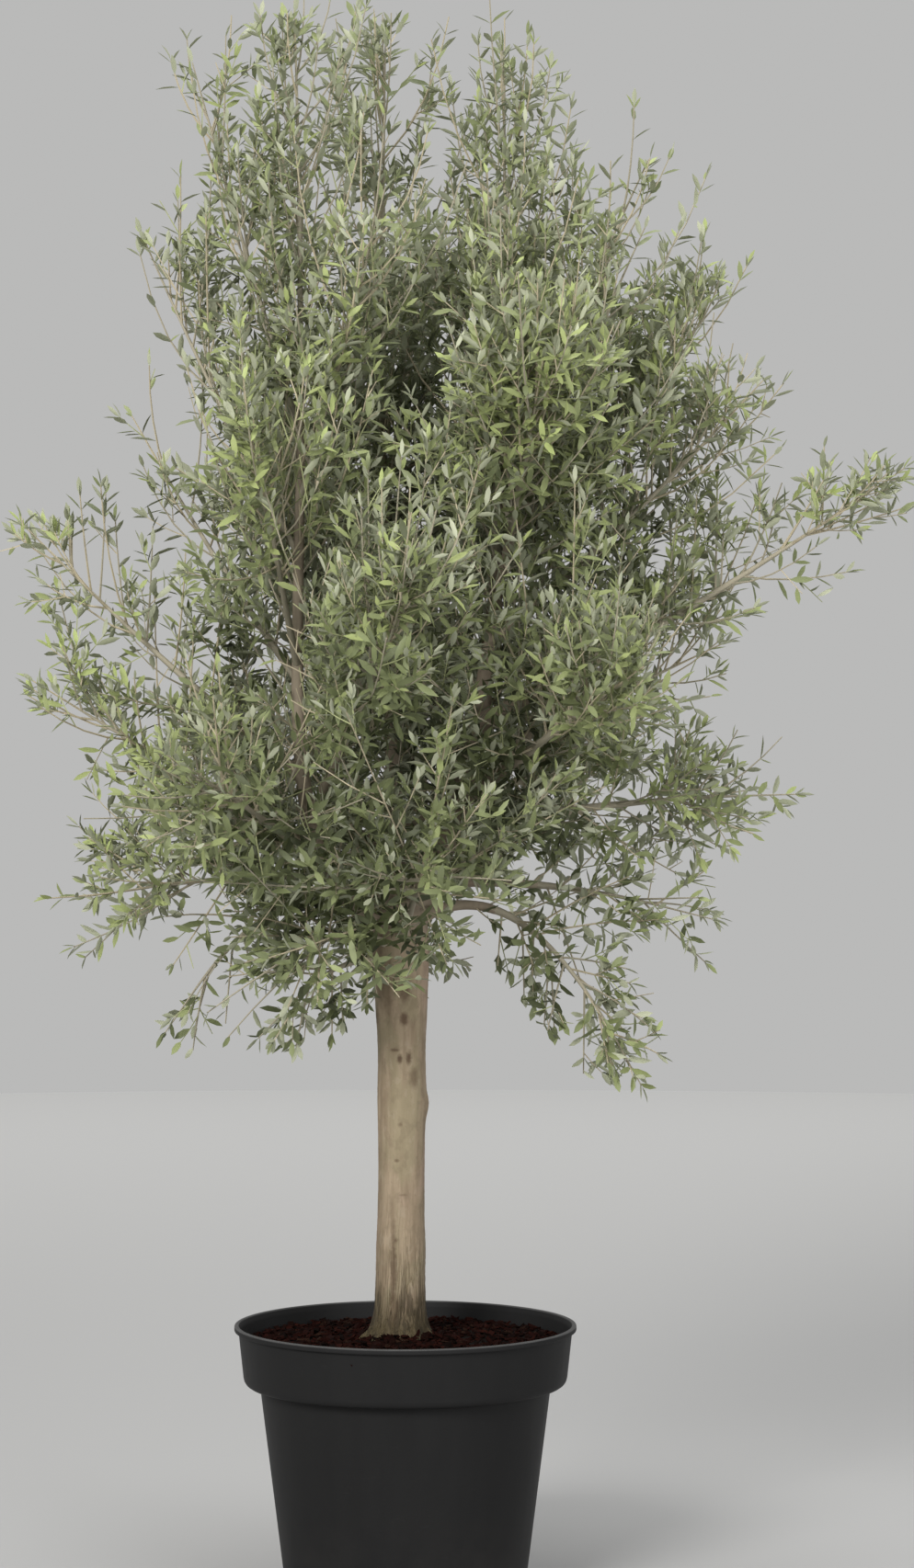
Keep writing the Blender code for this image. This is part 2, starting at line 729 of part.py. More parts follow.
def leaf_frames(mass, crown):
    """Where the leaves of a mass sit: one on the end of each shoot and of the stem, and pairs below."""
    dice = random.Random(mass.name + " leaves")
    spray = Spray(mass, crown)
    end = mass.path(mass.end)
    ahead = (end - mass.path(mass.end - 0.02)).normalized()
    spray.take(leaf_frame(end, ahead, sideways(ahead, dice), END_ROOT))
    for back in (0.02, 0.07):
        for frame in leaf_pair(mass.path(mass.end - back / mass.reach), ahead, dice):
            spray.offer(frame)
    twigs = []
    for start, way, room, thick in side_shoots(mass, crown):
        if len(spray.frames) > MOST_LEAVES - 2:
            break
        wood = max(0.3 * LEAF_LENGTH, room - LEAF_LENGTH)
        tip = start + way * wood
        took = [spray.offer(leaf_frame(tip, way, sideways(way, dice), END_ROOT))]
        for back in np.arange(0.35, wood / LEAF_LENGTH, 0.55):
            root = start + way * (wood - back * LEAF_LENGTH)
            took += [spray.offer(frame) for frame in leaf_pair(root, way, dice)]
        if any(took):
            twigs.append((start, tip, thick))
    return twigs, spray.frames


def sideways(way, dice):
    """A direction across a shoot, with a lean towards the light."""
    across = Vector((dice.uniform(-1, 1), dice.uniform(-1, 1), dice.uniform(-0.2, 1)))
    return across if across.cross(way).length > 0.1 else way.orthogonal()


def leaf_pair(root, way, dice):
    """Two leaves across from each other that lean towards the shoot's tip, upper face inwards."""
    across = way.orthogonal().normalized()
    across.rotate(Matrix.Rotation(dice.uniform(0, math.pi), 3, way))
    pair = []
    for side in (1, -1):
        ahead = way * math.cos(LEAF_SPREAD) + across * side * math.sin(LEAF_SPREAD)
        twist = 0.35 * Vector([dice.uniform(-1, 1) for _ in range(3)])
        pair.append(leaf_frame(root, ahead, way + twist, PAIR_ROOT))
    return pair


def make_mass(mass, crown, rooms, collection, finish):
    """One stem with its shoots and leaves, fused into a single solid."""
    name = "foliage_" + mass.name
    stem = rod(name, *mass_run(mass), 4, collection)
    if not mass.start:
        limb = next(limb for limb in LIMBS if limb.name == mass.name)
        for room in rooms.values():
            boolean(stem, "DIFFERENCE", room)
        keep_biggest(stem)
    loose = new_collection("loose")
    twigs, frames = leaf_frames(mass, crown)
    for i, (start, tip, thick) in enumerate(twigs):
        twig(f"twig_{i}", start, tip, min(SHOOT_RADIUS, 0.9 * thick), loose)
    for i, frame in enumerate(frames):
        leaf(f"leaf_{i}", frame, loose)
    bpy.context.view_layer.update()
    boolean(stem, "UNION", collection=loose, solver="MANIFOLD")
    remove_collection(loose)
    stem.data.materials.clear()
    stem.data.materials.append(finish)
    return stem


def main():
    clear_scene()
    tree = new_collection("potted_olive_tree")
    holder = add_object("potted_olive_tree", None, tree)
    plastic = material("black_plastic", (0.030, 0.031, 0.033), 0.42)
    bark_mulch = material("compost", (0.060, 0.026, 0.018), 0.95)
    bark = material("olive_bark", (0.300, 0.235, 0.160), 0.85)
    leaves = material("olive_leaf", (0.215, 0.260, 0.140), 0.60)
    make_pot(tree, plastic)
    make_compost(tree, bark_mulch)
    crown = Crown()
    rooms, rooms_kept = make_wood(tree, crown, bark)
    for mass in crown.masses:
        crown.wood.add(mass.name, *mass_run(mass))
    for mass in crown.masses:
        make_mass(mass, crown, rooms, tree, leaves)
    remove_collection(rooms_kept)
    for obj in tree.objects:
        if obj != holder:
            obj.parent = holder


main()
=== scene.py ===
import json
import math
import random
from collections import namedtuple
from functools import partial

import bmesh
import bpy
import numpy as np
from mathutils import Matrix, Vector

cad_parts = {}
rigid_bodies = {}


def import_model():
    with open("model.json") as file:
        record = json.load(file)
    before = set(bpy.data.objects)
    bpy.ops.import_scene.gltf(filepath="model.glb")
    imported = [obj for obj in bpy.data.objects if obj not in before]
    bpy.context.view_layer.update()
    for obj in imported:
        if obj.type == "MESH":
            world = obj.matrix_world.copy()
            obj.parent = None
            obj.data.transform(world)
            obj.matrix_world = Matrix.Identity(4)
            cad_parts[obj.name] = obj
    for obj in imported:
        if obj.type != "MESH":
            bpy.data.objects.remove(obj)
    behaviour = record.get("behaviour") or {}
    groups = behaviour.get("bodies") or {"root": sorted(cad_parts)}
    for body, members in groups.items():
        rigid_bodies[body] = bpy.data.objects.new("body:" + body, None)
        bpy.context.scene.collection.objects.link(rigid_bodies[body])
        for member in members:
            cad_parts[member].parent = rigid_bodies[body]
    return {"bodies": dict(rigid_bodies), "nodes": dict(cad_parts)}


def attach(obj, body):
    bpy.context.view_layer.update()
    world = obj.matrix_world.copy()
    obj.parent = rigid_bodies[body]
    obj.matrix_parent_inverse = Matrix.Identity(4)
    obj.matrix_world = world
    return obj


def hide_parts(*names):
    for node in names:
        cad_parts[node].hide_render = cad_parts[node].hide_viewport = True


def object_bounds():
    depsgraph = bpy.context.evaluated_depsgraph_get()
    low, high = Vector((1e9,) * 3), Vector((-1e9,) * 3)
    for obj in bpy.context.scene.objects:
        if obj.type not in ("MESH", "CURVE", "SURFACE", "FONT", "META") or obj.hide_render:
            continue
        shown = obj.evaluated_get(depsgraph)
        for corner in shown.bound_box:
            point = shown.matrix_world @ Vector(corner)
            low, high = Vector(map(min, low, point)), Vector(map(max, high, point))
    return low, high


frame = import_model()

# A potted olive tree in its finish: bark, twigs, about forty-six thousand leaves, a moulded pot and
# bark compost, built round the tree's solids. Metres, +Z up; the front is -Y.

for obj in list(bpy.data.objects):
    if obj not in {*frame["nodes"].values(), *frame["bodies"].values()}:
        bpy.data.objects.remove(obj)  # Blender's start-up objects
solid_low, solid_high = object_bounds()

# ---------------------------------------------------------------- sizes shared with the solids

TREE_HEIGHT = 2.345
POT_HEIGHT = 0.400
RIM_RADIUS = 0.250
SOIL_HEIGHT = 0.380
FORK_HEIGHT = 0.965
TRUNK_RADIUS = 0.0345
SEAT_GAP = 0.0004

LIP_HEIGHT = 0.008
LIP_WIDTH = 0.006
WALL = 0.003
FLOOR = 0.004
COLLAR_TOP_RADIUS = 0.2440
COLLAR_FOOT_RADIUS = 0.2360
COLLAR_FOOT_HEIGHT = 0.328
SHOULDER_RADIUS = 0.2125
SHOULDER_HEIGHT = 0.310
BASE_RADIUS = 0.1740
BASE_EDGE = 0.006
DRAIN_HOLES = 8
DRAIN_RADIUS = 0.009
DRAIN_CIRCLE = 0.135

TRUNK_FOOT_X = -0.009
TRUNK_BOW = 0.004
TRUNK_TOP = 1.020
FLARE_LOBES = 5
FLARE_LOBE_DEPTH = 0.10
TRUNK_RINGS = (  # height above the compost, radius as a share of the waist's
    (0.000, 1.56),
    (0.010, 1.38),
    (0.030, 1.20),
    (0.070, 1.08),
    (0.150, 1.02),
    (0.260, 0.98),
    (0.345, 1.04),
    (0.420, 1.03),
    (0.520, 1.14),
    (0.570, 1.22),
    (0.605, 1.16),
    (0.628, 0.88),
    (0.6396, 0.45),
)

SOLID_LEAF_LENGTH = 0.115  # the solids' leaves, each of which stands for a spray
SHOOT_SPACING = 0.032
STEM_TIP_RADIUS = 0.0030
LEAF_CLEARANCE = 0.0030
BOUGH_LEAST = 0.150
SQUARE_RUN = 0.0015
GOLDEN_TURN = math.radians(137.5)

Leader = namedtuple("Leader", "bearing spread sweep top foot_radius tip_radius sway")
LEADERS = {
    "leader_left": Leader(208, 0.165, 0.085, 1.760, 0.0145, 0.0055, 0.008),
    "leader_right": Leader(22, 0.185, 0.300, 1.740, 0.0240, 0.0060, 0.007),
    "leader_back": Leader(97, 0.200, 0.220, 1.740, 0.0180, 0.0055, 0.007),
}

# A limb's stem, the height of its fork, its bearing and rise in degrees, its reach, how much of that its
# tip lifts or hangs, its leaves' half width, and the share of the reach that is bare.
Limb = namedtuple("Limb", "name stem fork bearing rise reach arch width bare")
LIMBS = [
    Limb(*row)
    for row in (
        ("crest_left", "leader_left", 1.70, 174, 72, 0.55, 0.10, 0.085, 0.18),
        ("high_left", "leader_left", 1.52, 167, 60, 0.52, 0.14, 0.090, 0.22),
        ("upper_left", "leader_left", 1.34, 147, 49, 0.50, 0.12, 0.105, 0.24),
        ("mid_left", "leader_left", 1.20, 176, 38, 0.56, 0.10, 0.090, 0.34),
        ("wing_left", "leader_left", 1.09, 185, 30, 0.51, 0.02, 0.100, 0.38),
        ("low_left", "leader_left", 1.055, 181, 2, 0.39, -0.13, 0.120, 0.34),
        ("weep_left", "trunk", 0.975, 178, 40, 0.50, -1.10, 0.072, 0.46),
        ("weep_near", "trunk", 0.925, 208, 20, 0.29, -0.95, 0.080, 0.34),
        ("crest_right", "leader_right", 1.69, 349, 60, 0.47, 0.12, 0.075, 0.20),
        ("high_right", "leader_right", 1.55, 358, 44, 0.50, 0.10, 0.130, 0.24),
        ("upper_right", "leader_right", 1.40, 340, 37, 0.56, 0.12, 0.110, 0.36),
        ("arm_right", "leader_right", 1.28, 354, 26, 0.73, 0.10, 0.085, 0.40),
        ("mid_right", "leader_right", 1.22, 10, 25, 0.46, 0.00, 0.125, 0.36),
        ("wing_right", "leader_right", 1.12, 351, 12, 0.55, -0.11, 0.108, 0.38),
        ("low_right", "leader_right", 1.045, 1, 3, 0.45, -0.20, 0.085, 0.36),
        ("weep_right", "trunk", 0.975, 346, 38, 0.515, -1.25, 0.080, 0.36),
        ("weep_back", "trunk", 0.925, 50, 30, 0.20, -0.80, 0.070, 0.34),
        ("crest_front", "leader_left", 1.60, 302, 57, 0.48, 0.12, 0.130, 0.22),
        ("crest_middle", "leader_right", 1.50, 268, 68, 0.50, 0.05, 0.125, 0.26),
        ("crest_right_front", "leader_right", 1.57, 321, 55, 0.50, 0.10, 0.120, 0.26),
        ("high_front_right", "leader_right", 1.45, 278, 31, 0.56, 0.10, 0.155, 0.36),
        ("high_front_left", "leader_left", 1.36, 262, 40, 0.47, 0.12, 0.140, 0.30),
        ("mid_front", "leader_left", 1.14, 289, 32, 0.60, 0.05, 0.145, 0.40),
        ("mid_front_right", "leader_right", 1.16, 299, 20, 0.58, 0.00, 0.145, 0.40),
        ("mid_front_left", "leader_left", 1.07, 245, 20, 0.47, -0.02, 0.140, 0.38),
        ("low_front", "trunk", 0.955, 277, 24, 0.45, -0.12, 0.145, 0.32),
        ("low_front_left", "trunk", 0.945, 236, 22, 0.36, -0.42, 0.120, 0.36),
        ("crest_back", "leader_back", 1.58, 75, 60, 0.46, 0.10, 0.130, 0.14),
        ("high_back_right", "leader_back", 1.42, 39, 31, 0.50, 0.08, 0.145, 0.28),
        ("high_back_left", "leader_back", 1.34, 130, 42, 0.50, 0.08, 0.145, 0.28),
        ("mid_back", "leader_back", 1.22, 84, 26, 0.52, 0.00, 0.145, 0.36),
        ("mid_back_right", "leader_back", 1.12, 42, 17, 0.54, -0.03, 0.140, 0.40),
        ("mid_back_left", "leader_back", 1.08, 132, 23, 0.52, 0.00, 0.140, 0.38),
        ("low_back", "trunk", 0.950, 92, 20, 0.45, -0.12, 0.145, 0.32),
    )
]

Top = namedtuple("Top", "name stem height lean_x lean_y width")
TOPS = [
    Top("top_left", "leader_left", TREE_HEIGHT, -0.010, -0.010, 0.115),
    Top("top_right", "leader_right", 2.305, -0.006, -0.040, 0.130),
    Top("top_back", "leader_back", 2.342, 0.008, -0.085, 0.120),
]

# ---------------------------------------------------------------- sizes of the finish

LEAF_LENGTH = 0.0355
LEAF_WIDTH = 0.0086
LEAF_THICKNESS = 0.0006
LEAF_FOLD = 0.10  # how far a leaf's edges stand above its midrib, as a share of its width
LEAF_STATIONS = ((0.30, 0.92), (0.68, 0.95))  # share of the length, share of the width
NODE_SPACING = 0.0210  # between pairs of leaves on a shoot
WHIP_NODE_SPACING = 0.028
WHIP_CHANCE = 0.35  # of a shoot that runs on past its neighbours, with few side shoots
WHIP_RUN = 0.065
SIDE_SPACING = 0.026  # between pairs of side shoots
SIDE_CHANCE = 0.55
SIDE_FOOT = 0.030  # how far up a shoot its first side shoots are
SIDE_GAP = 0.015  # how far outside the masses side shoots may be
SIDE_BARE = 0.010  # the run at a side shoot's foot that has no leaves
SHORTEST_ROOM = 0.045  # a shoot needs this much room
SHORTEST_SHOOT = 0.040
SHORTEST_SIDE = 0.022
LONGEST_INNER = 0.30
SKY_INNER = 0.065  # the same on a limb that shows against the sky
SOLID_OFFSET = 0.2  # where the first shoot is, in spacings: the solids' own shoots
FINE_OFFSET = 0.7
FEEL_STEP = 0.006  # the steps in which a shoot feels for room
FEEL_STEPS = 50
FIRST_STEP = 3
END_LEAF = 0.72  # the size of the leaf that ends a shoot
FINE_SHOOTS = 2.7  # finer shoots on a mass's stem for each one that its solid has
FINE_GAP = 0.010  # how far outside the masses they may be
TOP_GAP = 0.055  # the same at the top, where the masses spread over each other
CREST_GAP = 0.030
LEAF_OVERHANG = 0.006
BOX_SLACK = 0.012  # how far a leaf or shoot may stand out of the solids' box at its sides
BARE_SHARE = 0.20  # of a main shoot, from its foot
WANDER = 0.20  # how unevenly shoots point
AIRY_HEIGHT = 2.02  # above this the shoots stand further apart
AIRY_RUN = 0.20
AIRY_SHARE = 0.20
RISE = 0.55  # how much shoots turn upwards, high in the crown
HEART_SPACING = 0.022  # between the inner shoots along the bare limbs
HEART_X = 0.03
HEART_RADIUS = 0.45  # how far out from the crown's middle its gaps are filled
HEART_GAP = 0.20  # the widest gap between masses that inner shoots fill
HEART_FOOT = 1.00
HEART_TOP = 2.02
HEART_SHADE = 0.8  # how many tints darker the inner shoots are: painted shade inside the crown
SLIT_HALF_WIDTH = 0.014  # the left leader shows between these heights, where few leaves hang before it
SLIT_FOOT = 1.13
SLIT_TOP = 1.74
SLIT_SHARE = 0.90

# Where the sky shows through: x, height, half width, half height, share of shoots left out.
OPEN_PLACES = (
    (-0.37, 2.16, 0.07, 0.12, 0.8),
    (-0.30, 2.25, 0.07, 0.06, 0.6),
    (-0.18, 2.33, 0.10, 0.03, 0.7),
    (0.20, 2.33, 0.12, 0.035, 0.8),
    (-0.29, 2.16, 0.03, 0.04, 0.6),
    (-0.36, 2.03, 0.05, 0.04, 0.6),
    (-0.38, 1.89, 0.07, 0.08, 0.9),
    (-0.23, 1.97, 0.03, 0.04, 0.8),
    (-0.37, 1.77, 0.06, 0.07, 0.9),
    (-0.37, 1.69, 0.06, 0.04, 0.9),
    (-0.30, 1.69, 0.05, 0.06, 0.8),
    (-0.34, 1.57, 0.04, 0.05, 0.8),
    (-0.46, 1.51, 0.08, 0.04, 0.9),
    (-0.35, 1.36, 0.04, 0.06, 0.8),
    (-0.48, 1.26, 0.07, 0.04, 0.6),
    (-0.58, 1.31, 0.04, 0.04, 0.8),
    (-0.02, 2.23, 0.04, 0.06, 0.8),
    (-0.05, 2.04, 0.09, 0.045, 0.98),
    (0.32, 2.12, 0.05, 0.045, 0.8),
    (0.35, 2.03, 0.06, 0.04, 0.9),
    (0.45, 1.86, 0.05, 0.06, 0.8),
    (0.56, 1.83, 0.07, 0.05, 0.9),
    (0.48, 1.77, 0.04, 0.03, 0.7),
    (0.66, 1.73, 0.08, 0.05, 0.9),
    (0.58, 1.55, 0.06, 0.03, 0.7),
    (0.53, 1.50, 0.05, 0.03, 0.7),
    (0.40, 1.37, 0.06, 0.05, 0.97),
    (0.51, 1.33, 0.06, 0.05, 0.7),
    (0.56, 1.235, 0.05, 0.035, 0.9),
    (0.57, 1.13, 0.06, 0.06, 0.7),
    (0.31, 1.16, 0.04, 0.03, 0.7),
    (0.37, 1.03, 0.06, 0.04, 0.9),
    (0.10, 1.01, 0.05, 0.03, 0.7),
    (0.14, 0.95, 0.07, 0.05, 0.9),
    (0.07, 0.85, 0.06, 0.06, 0.95),
    (0.18, 0.88, 0.05, 0.05, 0.95),
    (0.27, 1.02, 0.06, 0.06, 0.9),
    (0.31, 0.94, 0.06, 0.07, 0.95),
    (-0.29, 1.02, 0.05, 0.03, 0.8),
    (-0.34, 0.96, 0.07, 0.04, 0.8),
    (-0.29, 0.89, 0.09, 0.035, 0.8),
    (-0.29, 0.82, 0.05, 0.04, 0.7),
    (-0.22, 0.77, 0.06, 0.03, 0.7),
)
SKY_LIMBS = ("weep_right",)  # keep all their leaves
SPARSE_MASSES = {  # masses that the sky shows through, and their share of the finer shoots
    "top": 0.5,
    "crest_right": 0.4,
    "crest": 0.7,
    "weep": 0.9,
    "mid_left": 0.7,
    "wing_left": 1.0,
    "upper_left": 0.7,
    "high_left": 0.7,
    "low_right": 0.6,
    "arm_right": 0.6,
}

SHOOT_RADIUS = 0.0017
SHOOT_TIP_RADIUS = 0.0009
SIDE_RADIUS = 0.0011
SIDE_TIP_RADIUS = 0.0007
STEM_END_RADIUS = 0.0016

BARK_VOXEL = 0.0019
BARK_TRIANGLES = 185000

CAMERA_PLACE = (0.0753, -5.42, 1.19)
CAMERA_LENS = 85.04
FLOOR_RADIUS = 9.0
UP = np.array((0.0, 0.0, 1.0))


# ---------------------------------------------------------------- shader arithmetic

def both_ways(operation):
    """An operator's two methods: the plain one and its reflected form."""

    def plain(self, other):
        return self.maths(operation, self, other)

    def reflected(self, other):
        return self.maths(operation, other, self)

    return plain, reflected


class Shade:
    """A socket that gives a value. Arithmetic on it adds Math nodes."""

    def __init__(self, finish, socket):
        self.finish = finish
        self.socket = socket

    def maths(self, operation, *values):
        return self.finish.node("Math", {"operation": operation}, dict(enumerate(values)))

    __add__, __radd__ = both_ways("ADD")
    __sub__, __rsub__ = both_ways("SUBTRACT")
    __mul__, __rmul__ = both_ways("MULTIPLY")

    def over(self, low, high):
        """0 below low and 1 above high, with a smooth step between. Low may be the larger."""
        values = {0: self, 1: low, 2: high, 3: 0.0, 4: 1.0}
        return self.finish.node("MapRange", {"interpolation_type": "SMOOTHSTEP"}, values)

    def size(self):
        return self.maths("ABSOLUTE", self)


class Finish:
    """A material in the making, round one Principled shader."""

    def __init__(self, name, colour, roughness, specular=0.5):
        self.material = bpy.data.materials.new(name)
        self.material.use_nodes = True
        self.material.diffuse_color = (*colour, 1)
        self.tree = self.material.node_tree
        self.shader = self.tree.nodes["Principled BSDF"]
        self.give("Base Color", colour)
        self.give("Roughness", roughness)
        self.give("Specular IOR Level", specular)

    def give(self, name, value):
        self.feed(self.shader.inputs[name], value)

    def feed(self, socket, value):
        if isinstance(value, Shade):
            self.tree.links.new(value.socket, socket)
        elif socket.type == "RGBA":
            socket.default_value = (*value, 1)
        else:
            socket.default_value = value

    def node(self, kind, settings, values, out=0):
        """Adds a node: its settings first, then its sockets' values or links."""
        made = self.tree.nodes.new("ShaderNode" + kind)
        for name, setting in settings.items():
            setattr(made, name, setting)
        for name, value in values.items():
            self.feed(made.inputs[name], value)
        return Shade(self, made.outputs[out])

    def place(self, stretch=(1, 1, 1)):
        """Where on the piece, in metres, stretched by a factor on each axis."""
        here = self.node("TexCoord", {}, {}, "Object")
        return self.node("VectorMath", {"operation": "MULTIPLY"}, {0: here, 1: stretch})

    def along(self, axis):
        return self.node("SeparateXYZ", {}, {0: self.place()}, axis)

    def noise(self, scale, detail=3.0, stretch=(1, 1, 1), rough=0.55, warp=0.0):
        values = {
            "Vector": self.place(stretch),
            "Scale": scale,
            "Detail": detail,
            "Roughness": rough,
            "Distortion": warp,
        }
        return self.node("TexNoise", {}, values)

    def cells(self, scale, stretch=(1, 1, 1)):
        values = {"Vector": self.place(stretch), "Scale": scale}
        return self.node("TexVoronoi", {"feature": "F1"}, values, "Distance")

    def mix(self, share, below, above):
        """One colour over another."""
        return self.node("Mix", {"data_type": "RGBA"}, {0: share, 6: below, 7: above}, 2)

    def bump(self, height, depth):
        values = {"Height": height, "Distance": depth, "Strength": 1.0}
        self.give("Normal", self.node("Bump", {}, values))


# ---------------------------------------------------------------- meshes from arrays

class Soup:
    """The points and faces of many small things, gathered into one mesh."""

    def __init__(self):
        self.points, self.faces, self.finishes = [], [], []
        self.count = 0

    def add(self, points, faces, finish=0):
        """Adds points, and faces that are rows of their numbers, with a finish for all or for each."""
        points = np.asarray(points, float).reshape(-1, 3)
        faces = np.asarray(faces, int)
        self.points.append(points)
        self.faces.append(faces + self.count)
        self.finishes.append(np.broadcast_to(np.asarray(finish, int), len(faces)))
        self.count += len(points)

    def piece(self, name, materials, crease=None):
        mesh = bpy.data.meshes.new(name)
        points = np.concatenate(self.points).astype(np.float32)
        corners = np.concatenate([faces.ravel() for faces in self.faces]).astype(np.int32)
        sizes = np.concatenate([np.full(len(faces), faces.shape[1]) for faces in self.faces])
        starts = np.concatenate([[0], np.cumsum(sizes)[:-1]]).astype(np.int32)
        mesh.vertices.add(len(points))
        mesh.vertices.foreach_set("co", points.ravel())
        mesh.loops.add(len(corners))
        mesh.loops.foreach_set("vertex_index", corners)
        mesh.polygons.add(len(starts))
        mesh.polygons.foreach_set("loop_start", starts)
        mesh.polygons.foreach_set("material_index", np.concatenate(self.finishes).astype(np.int32))
        mesh.update(calc_edges=True)
        mesh.shade_smooth()
        if crease is not None:
            mesh.set_sharp_from_angle(angle=crease)
        for material in materials:
            mesh.materials.append(material)
        return add_piece(name, mesh)


def add_piece(name, mesh):
    made = bpy.data.objects.new(name, mesh)
    bpy.context.scene.collection.objects.link(made)
    return made


def applied(piece):
    """Makes a piece's modifiers part of its mesh."""
    graph = bpy.context.evaluated_depsgraph_get()
    mesh = bpy.data.meshes.new_from_object(piece.evaluated_get(graph))
    piece.modifiers.clear()
    piece.data = mesh
    return mesh


def unit(rows):
    rows = np.asarray(rows, float)
    return rows / np.maximum(np.linalg.norm(rows, axis=-1, keepdims=True), 1e-9)


def square_to(way):
    """Two directions square to each way and to each other."""
    way = unit(way)
    helper = np.where(np.abs(way[..., 2:]) > 0.9, np.array((1.0, 0, 0)), UP)
    first = unit(np.cross(way, helper))
    return first, np.cross(way, first)


def tube(soup, points, radii, sides, finish=0):
    """A closed round limb through points, with a radius at each, or at each and on each side."""
    points = np.asarray(points, float)
    ahead = unit(np.gradient(points, axis=0))
    helper = np.array((1.0, 0, 0)) if abs(ahead[:, 2].mean()) > 0.8 else UP
    first = unit(np.cross(ahead, helper))
    second = np.cross(ahead, first)
    angles = np.arange(sides) * 2 * math.pi / sides
    out = first[:, None] * np.cos(angles)[:, None] + second[:, None] * np.sin(angles)[:, None]
    radii = np.asarray(radii, float).reshape(len(points), -1)
    rings = points[:, None] + out * radii[..., None]
    here = np.arange(len(points) - 1)[:, None] * sides + np.arange(sides)
    after = np.roll(here, -1, axis=1)
    walls = np.stack([here, after, after + sides, here + sides], axis=-1).reshape(-1, 4)
    last = (len(points) - 1) * sides
    caps = np.array([np.arange(sides)[::-1], last + np.arange(sides)])
    soup.add(rings, walls, finish)
    soup.faces.append(caps + soup.count - rings.size // 3)
    soup.finishes.append(np.full(2, finish))


def lattice(cells):
    """A settled random number from 0 to 1 for each whole-number cell."""
    mixed = np.sin(cells @ np.array((127.1, 311.7, 74.7))) * 43758.5453
    return mixed - np.floor(mixed)


def grain(points, cell):
    """Smooth noise from -1 to 1 at points, with cells of the given size on each axis."""
    scaled = np.asarray(points, float) / np.asarray(cell, float)
    corner = np.floor(scaled)
    near = scaled - corner
    near = near * near * (3 - 2 * near)
    total = 0
    for step in np.ndindex(2, 2, 2):
        weight = np.where(step, near, 1 - near).prod(axis=1)
        total = total + weight * lattice(corner + step)
    return 2 * total - 1


# ---------------------------------------------------------------- the limbs' paths, as in the solids

def eased(x, table):
    """A smooth curve through a table of (x, y) rows, read at x."""
    xs, ys = np.array(table, float).T
    slopes = np.gradient(ys, xs)
    i = np.clip(np.searchsorted(xs, x) - 1, 0, len(xs) - 2)
    run = xs[i + 1] - xs[i]
    t = np.clip((x - xs[i]) / run, 0, 1)
    rise = slopes[i] * run * t * (1 - t) ** 2 - slopes[i + 1] * run * t**2 * (1 - t)
    return ys[i] * (1 + 2 * t) * (1 - t) ** 2 + ys[i + 1] * t**2 * (3 - 2 * t) + rise


def trunk_axis(z):
    z = np.asarray(z, float)
    climb = (z - SOIL_HEIGHT) / (TRUNK_TOP - SOIL_HEIGHT)
    return np.stack([TRUNK_FOOT_X + TRUNK_BOW * np.sin(math.pi * climb), 0 * z, z], axis=-1)


def trunk_radius(z):
    return TRUNK_RADIUS * eased(np.asarray(z, float) - SOIL_HEIGHT, TRUNK_RINGS)


def leader_axis(name, z):
    leader = LEADERS[name]
    z = np.asarray(z, float)
    foot = trunk_axis(FORK_HEIGHT)
    climb = np.maximum(0, z - FORK_HEIGHT)
    out = leader.spread * (1 - np.exp(-climb / leader.sweep))
    sway = leader.sway * np.sin(6 * climb) * np.minimum(1, 3 * climb)
    bearing = math.radians(leader.bearing)
    x = foot[0] + out * math.cos(bearing) + sway * math.sin(bearing)
    y = foot[1] + out * math.sin(bearing) - sway * math.cos(bearing)
    return np.stack([x, y, z], axis=-1)


def leader_radius(name, z):
    leader = LEADERS[name]
    climb = (z - FORK_HEIGHT) / (leader.top - FORK_HEIGHT)
    return leader.foot_radius + (leader.tip_radius - leader.foot_radius) * climb**0.75


def stem_axis(stem, z):
    return trunk_axis(z) if stem == "trunk" else leader_axis(stem, z)


def stem_radius(stem, z):
    return float(trunk_radius(z)) if stem == "trunk" else leader_radius(stem, z)


def limb_point(limb, share):
    bearing, rise = math.radians(limb.bearing), math.radians(limb.rise)
    share = np.asarray(share, float)
    level = math.cos(rise) * share
    climb = math.sin(rise) * share + limb.arch * share**2
    way = np.stack([level * math.cos(bearing), level * math.sin(bearing), climb], axis=-1)
    return stem_axis(limb.stem, limb.fork) + limb.reach * way


def bough_radius(limb, share):
    foot = min(0.0045 + 0.011 * limb.reach, 0.72 * stem_radius(limb.stem, limb.fork))
    return foot + (STEM_TIP_RADIUS - foot) * share**0.7


def top_point(top, share):
    foot = leader_axis(top.stem, LEADERS[top.stem].top)
    share = np.asarray(share, float)[..., None]
    lean = np.array((top.lean_x, top.lean_y, 0))
    return foot + lean * share**2 + (top.height - foot[2]) * UP * share


def has_bough(limb):
    return limb.bare * limb.reach > BOUGH_LEAST


class Mass:
    """One mass of foliage: its stem's path, and the chain of balls that is its space."""

    BALLS = 8
    RINGS = 4

    def __init__(self, name, path, start, leafy, width, reach, foot_radius, hangs):
        self.name = name
        self.curve = path
        self.start, self.leafy = start, leafy
        self.width, self.reach = width, reach
        self.foot_radius = foot_radius
        self.hangs = hangs
        self.end = 1 - 0.95 * SOLID_LEAF_LENGTH / reach
        self.shares = np.linspace(start, self.end, self.RINGS)
        self.shares = np.insert(self.shares, 1, start + SQUARE_RUN / reach)
        self.rings = path(self.shares)
        along = np.linspace(0, 1, self.BALLS)
        last = 1 - 0.40 * width / reach
        self.centres = path(leafy + (last - leafy) * along)
        self.radii = width * (0.40 + 0.60 * np.sin(math.pi * along) ** 0.8)

    def path(self, share):
        return Vector([float(np.interp(share, self.shares, line)) for line in self.rings.T])


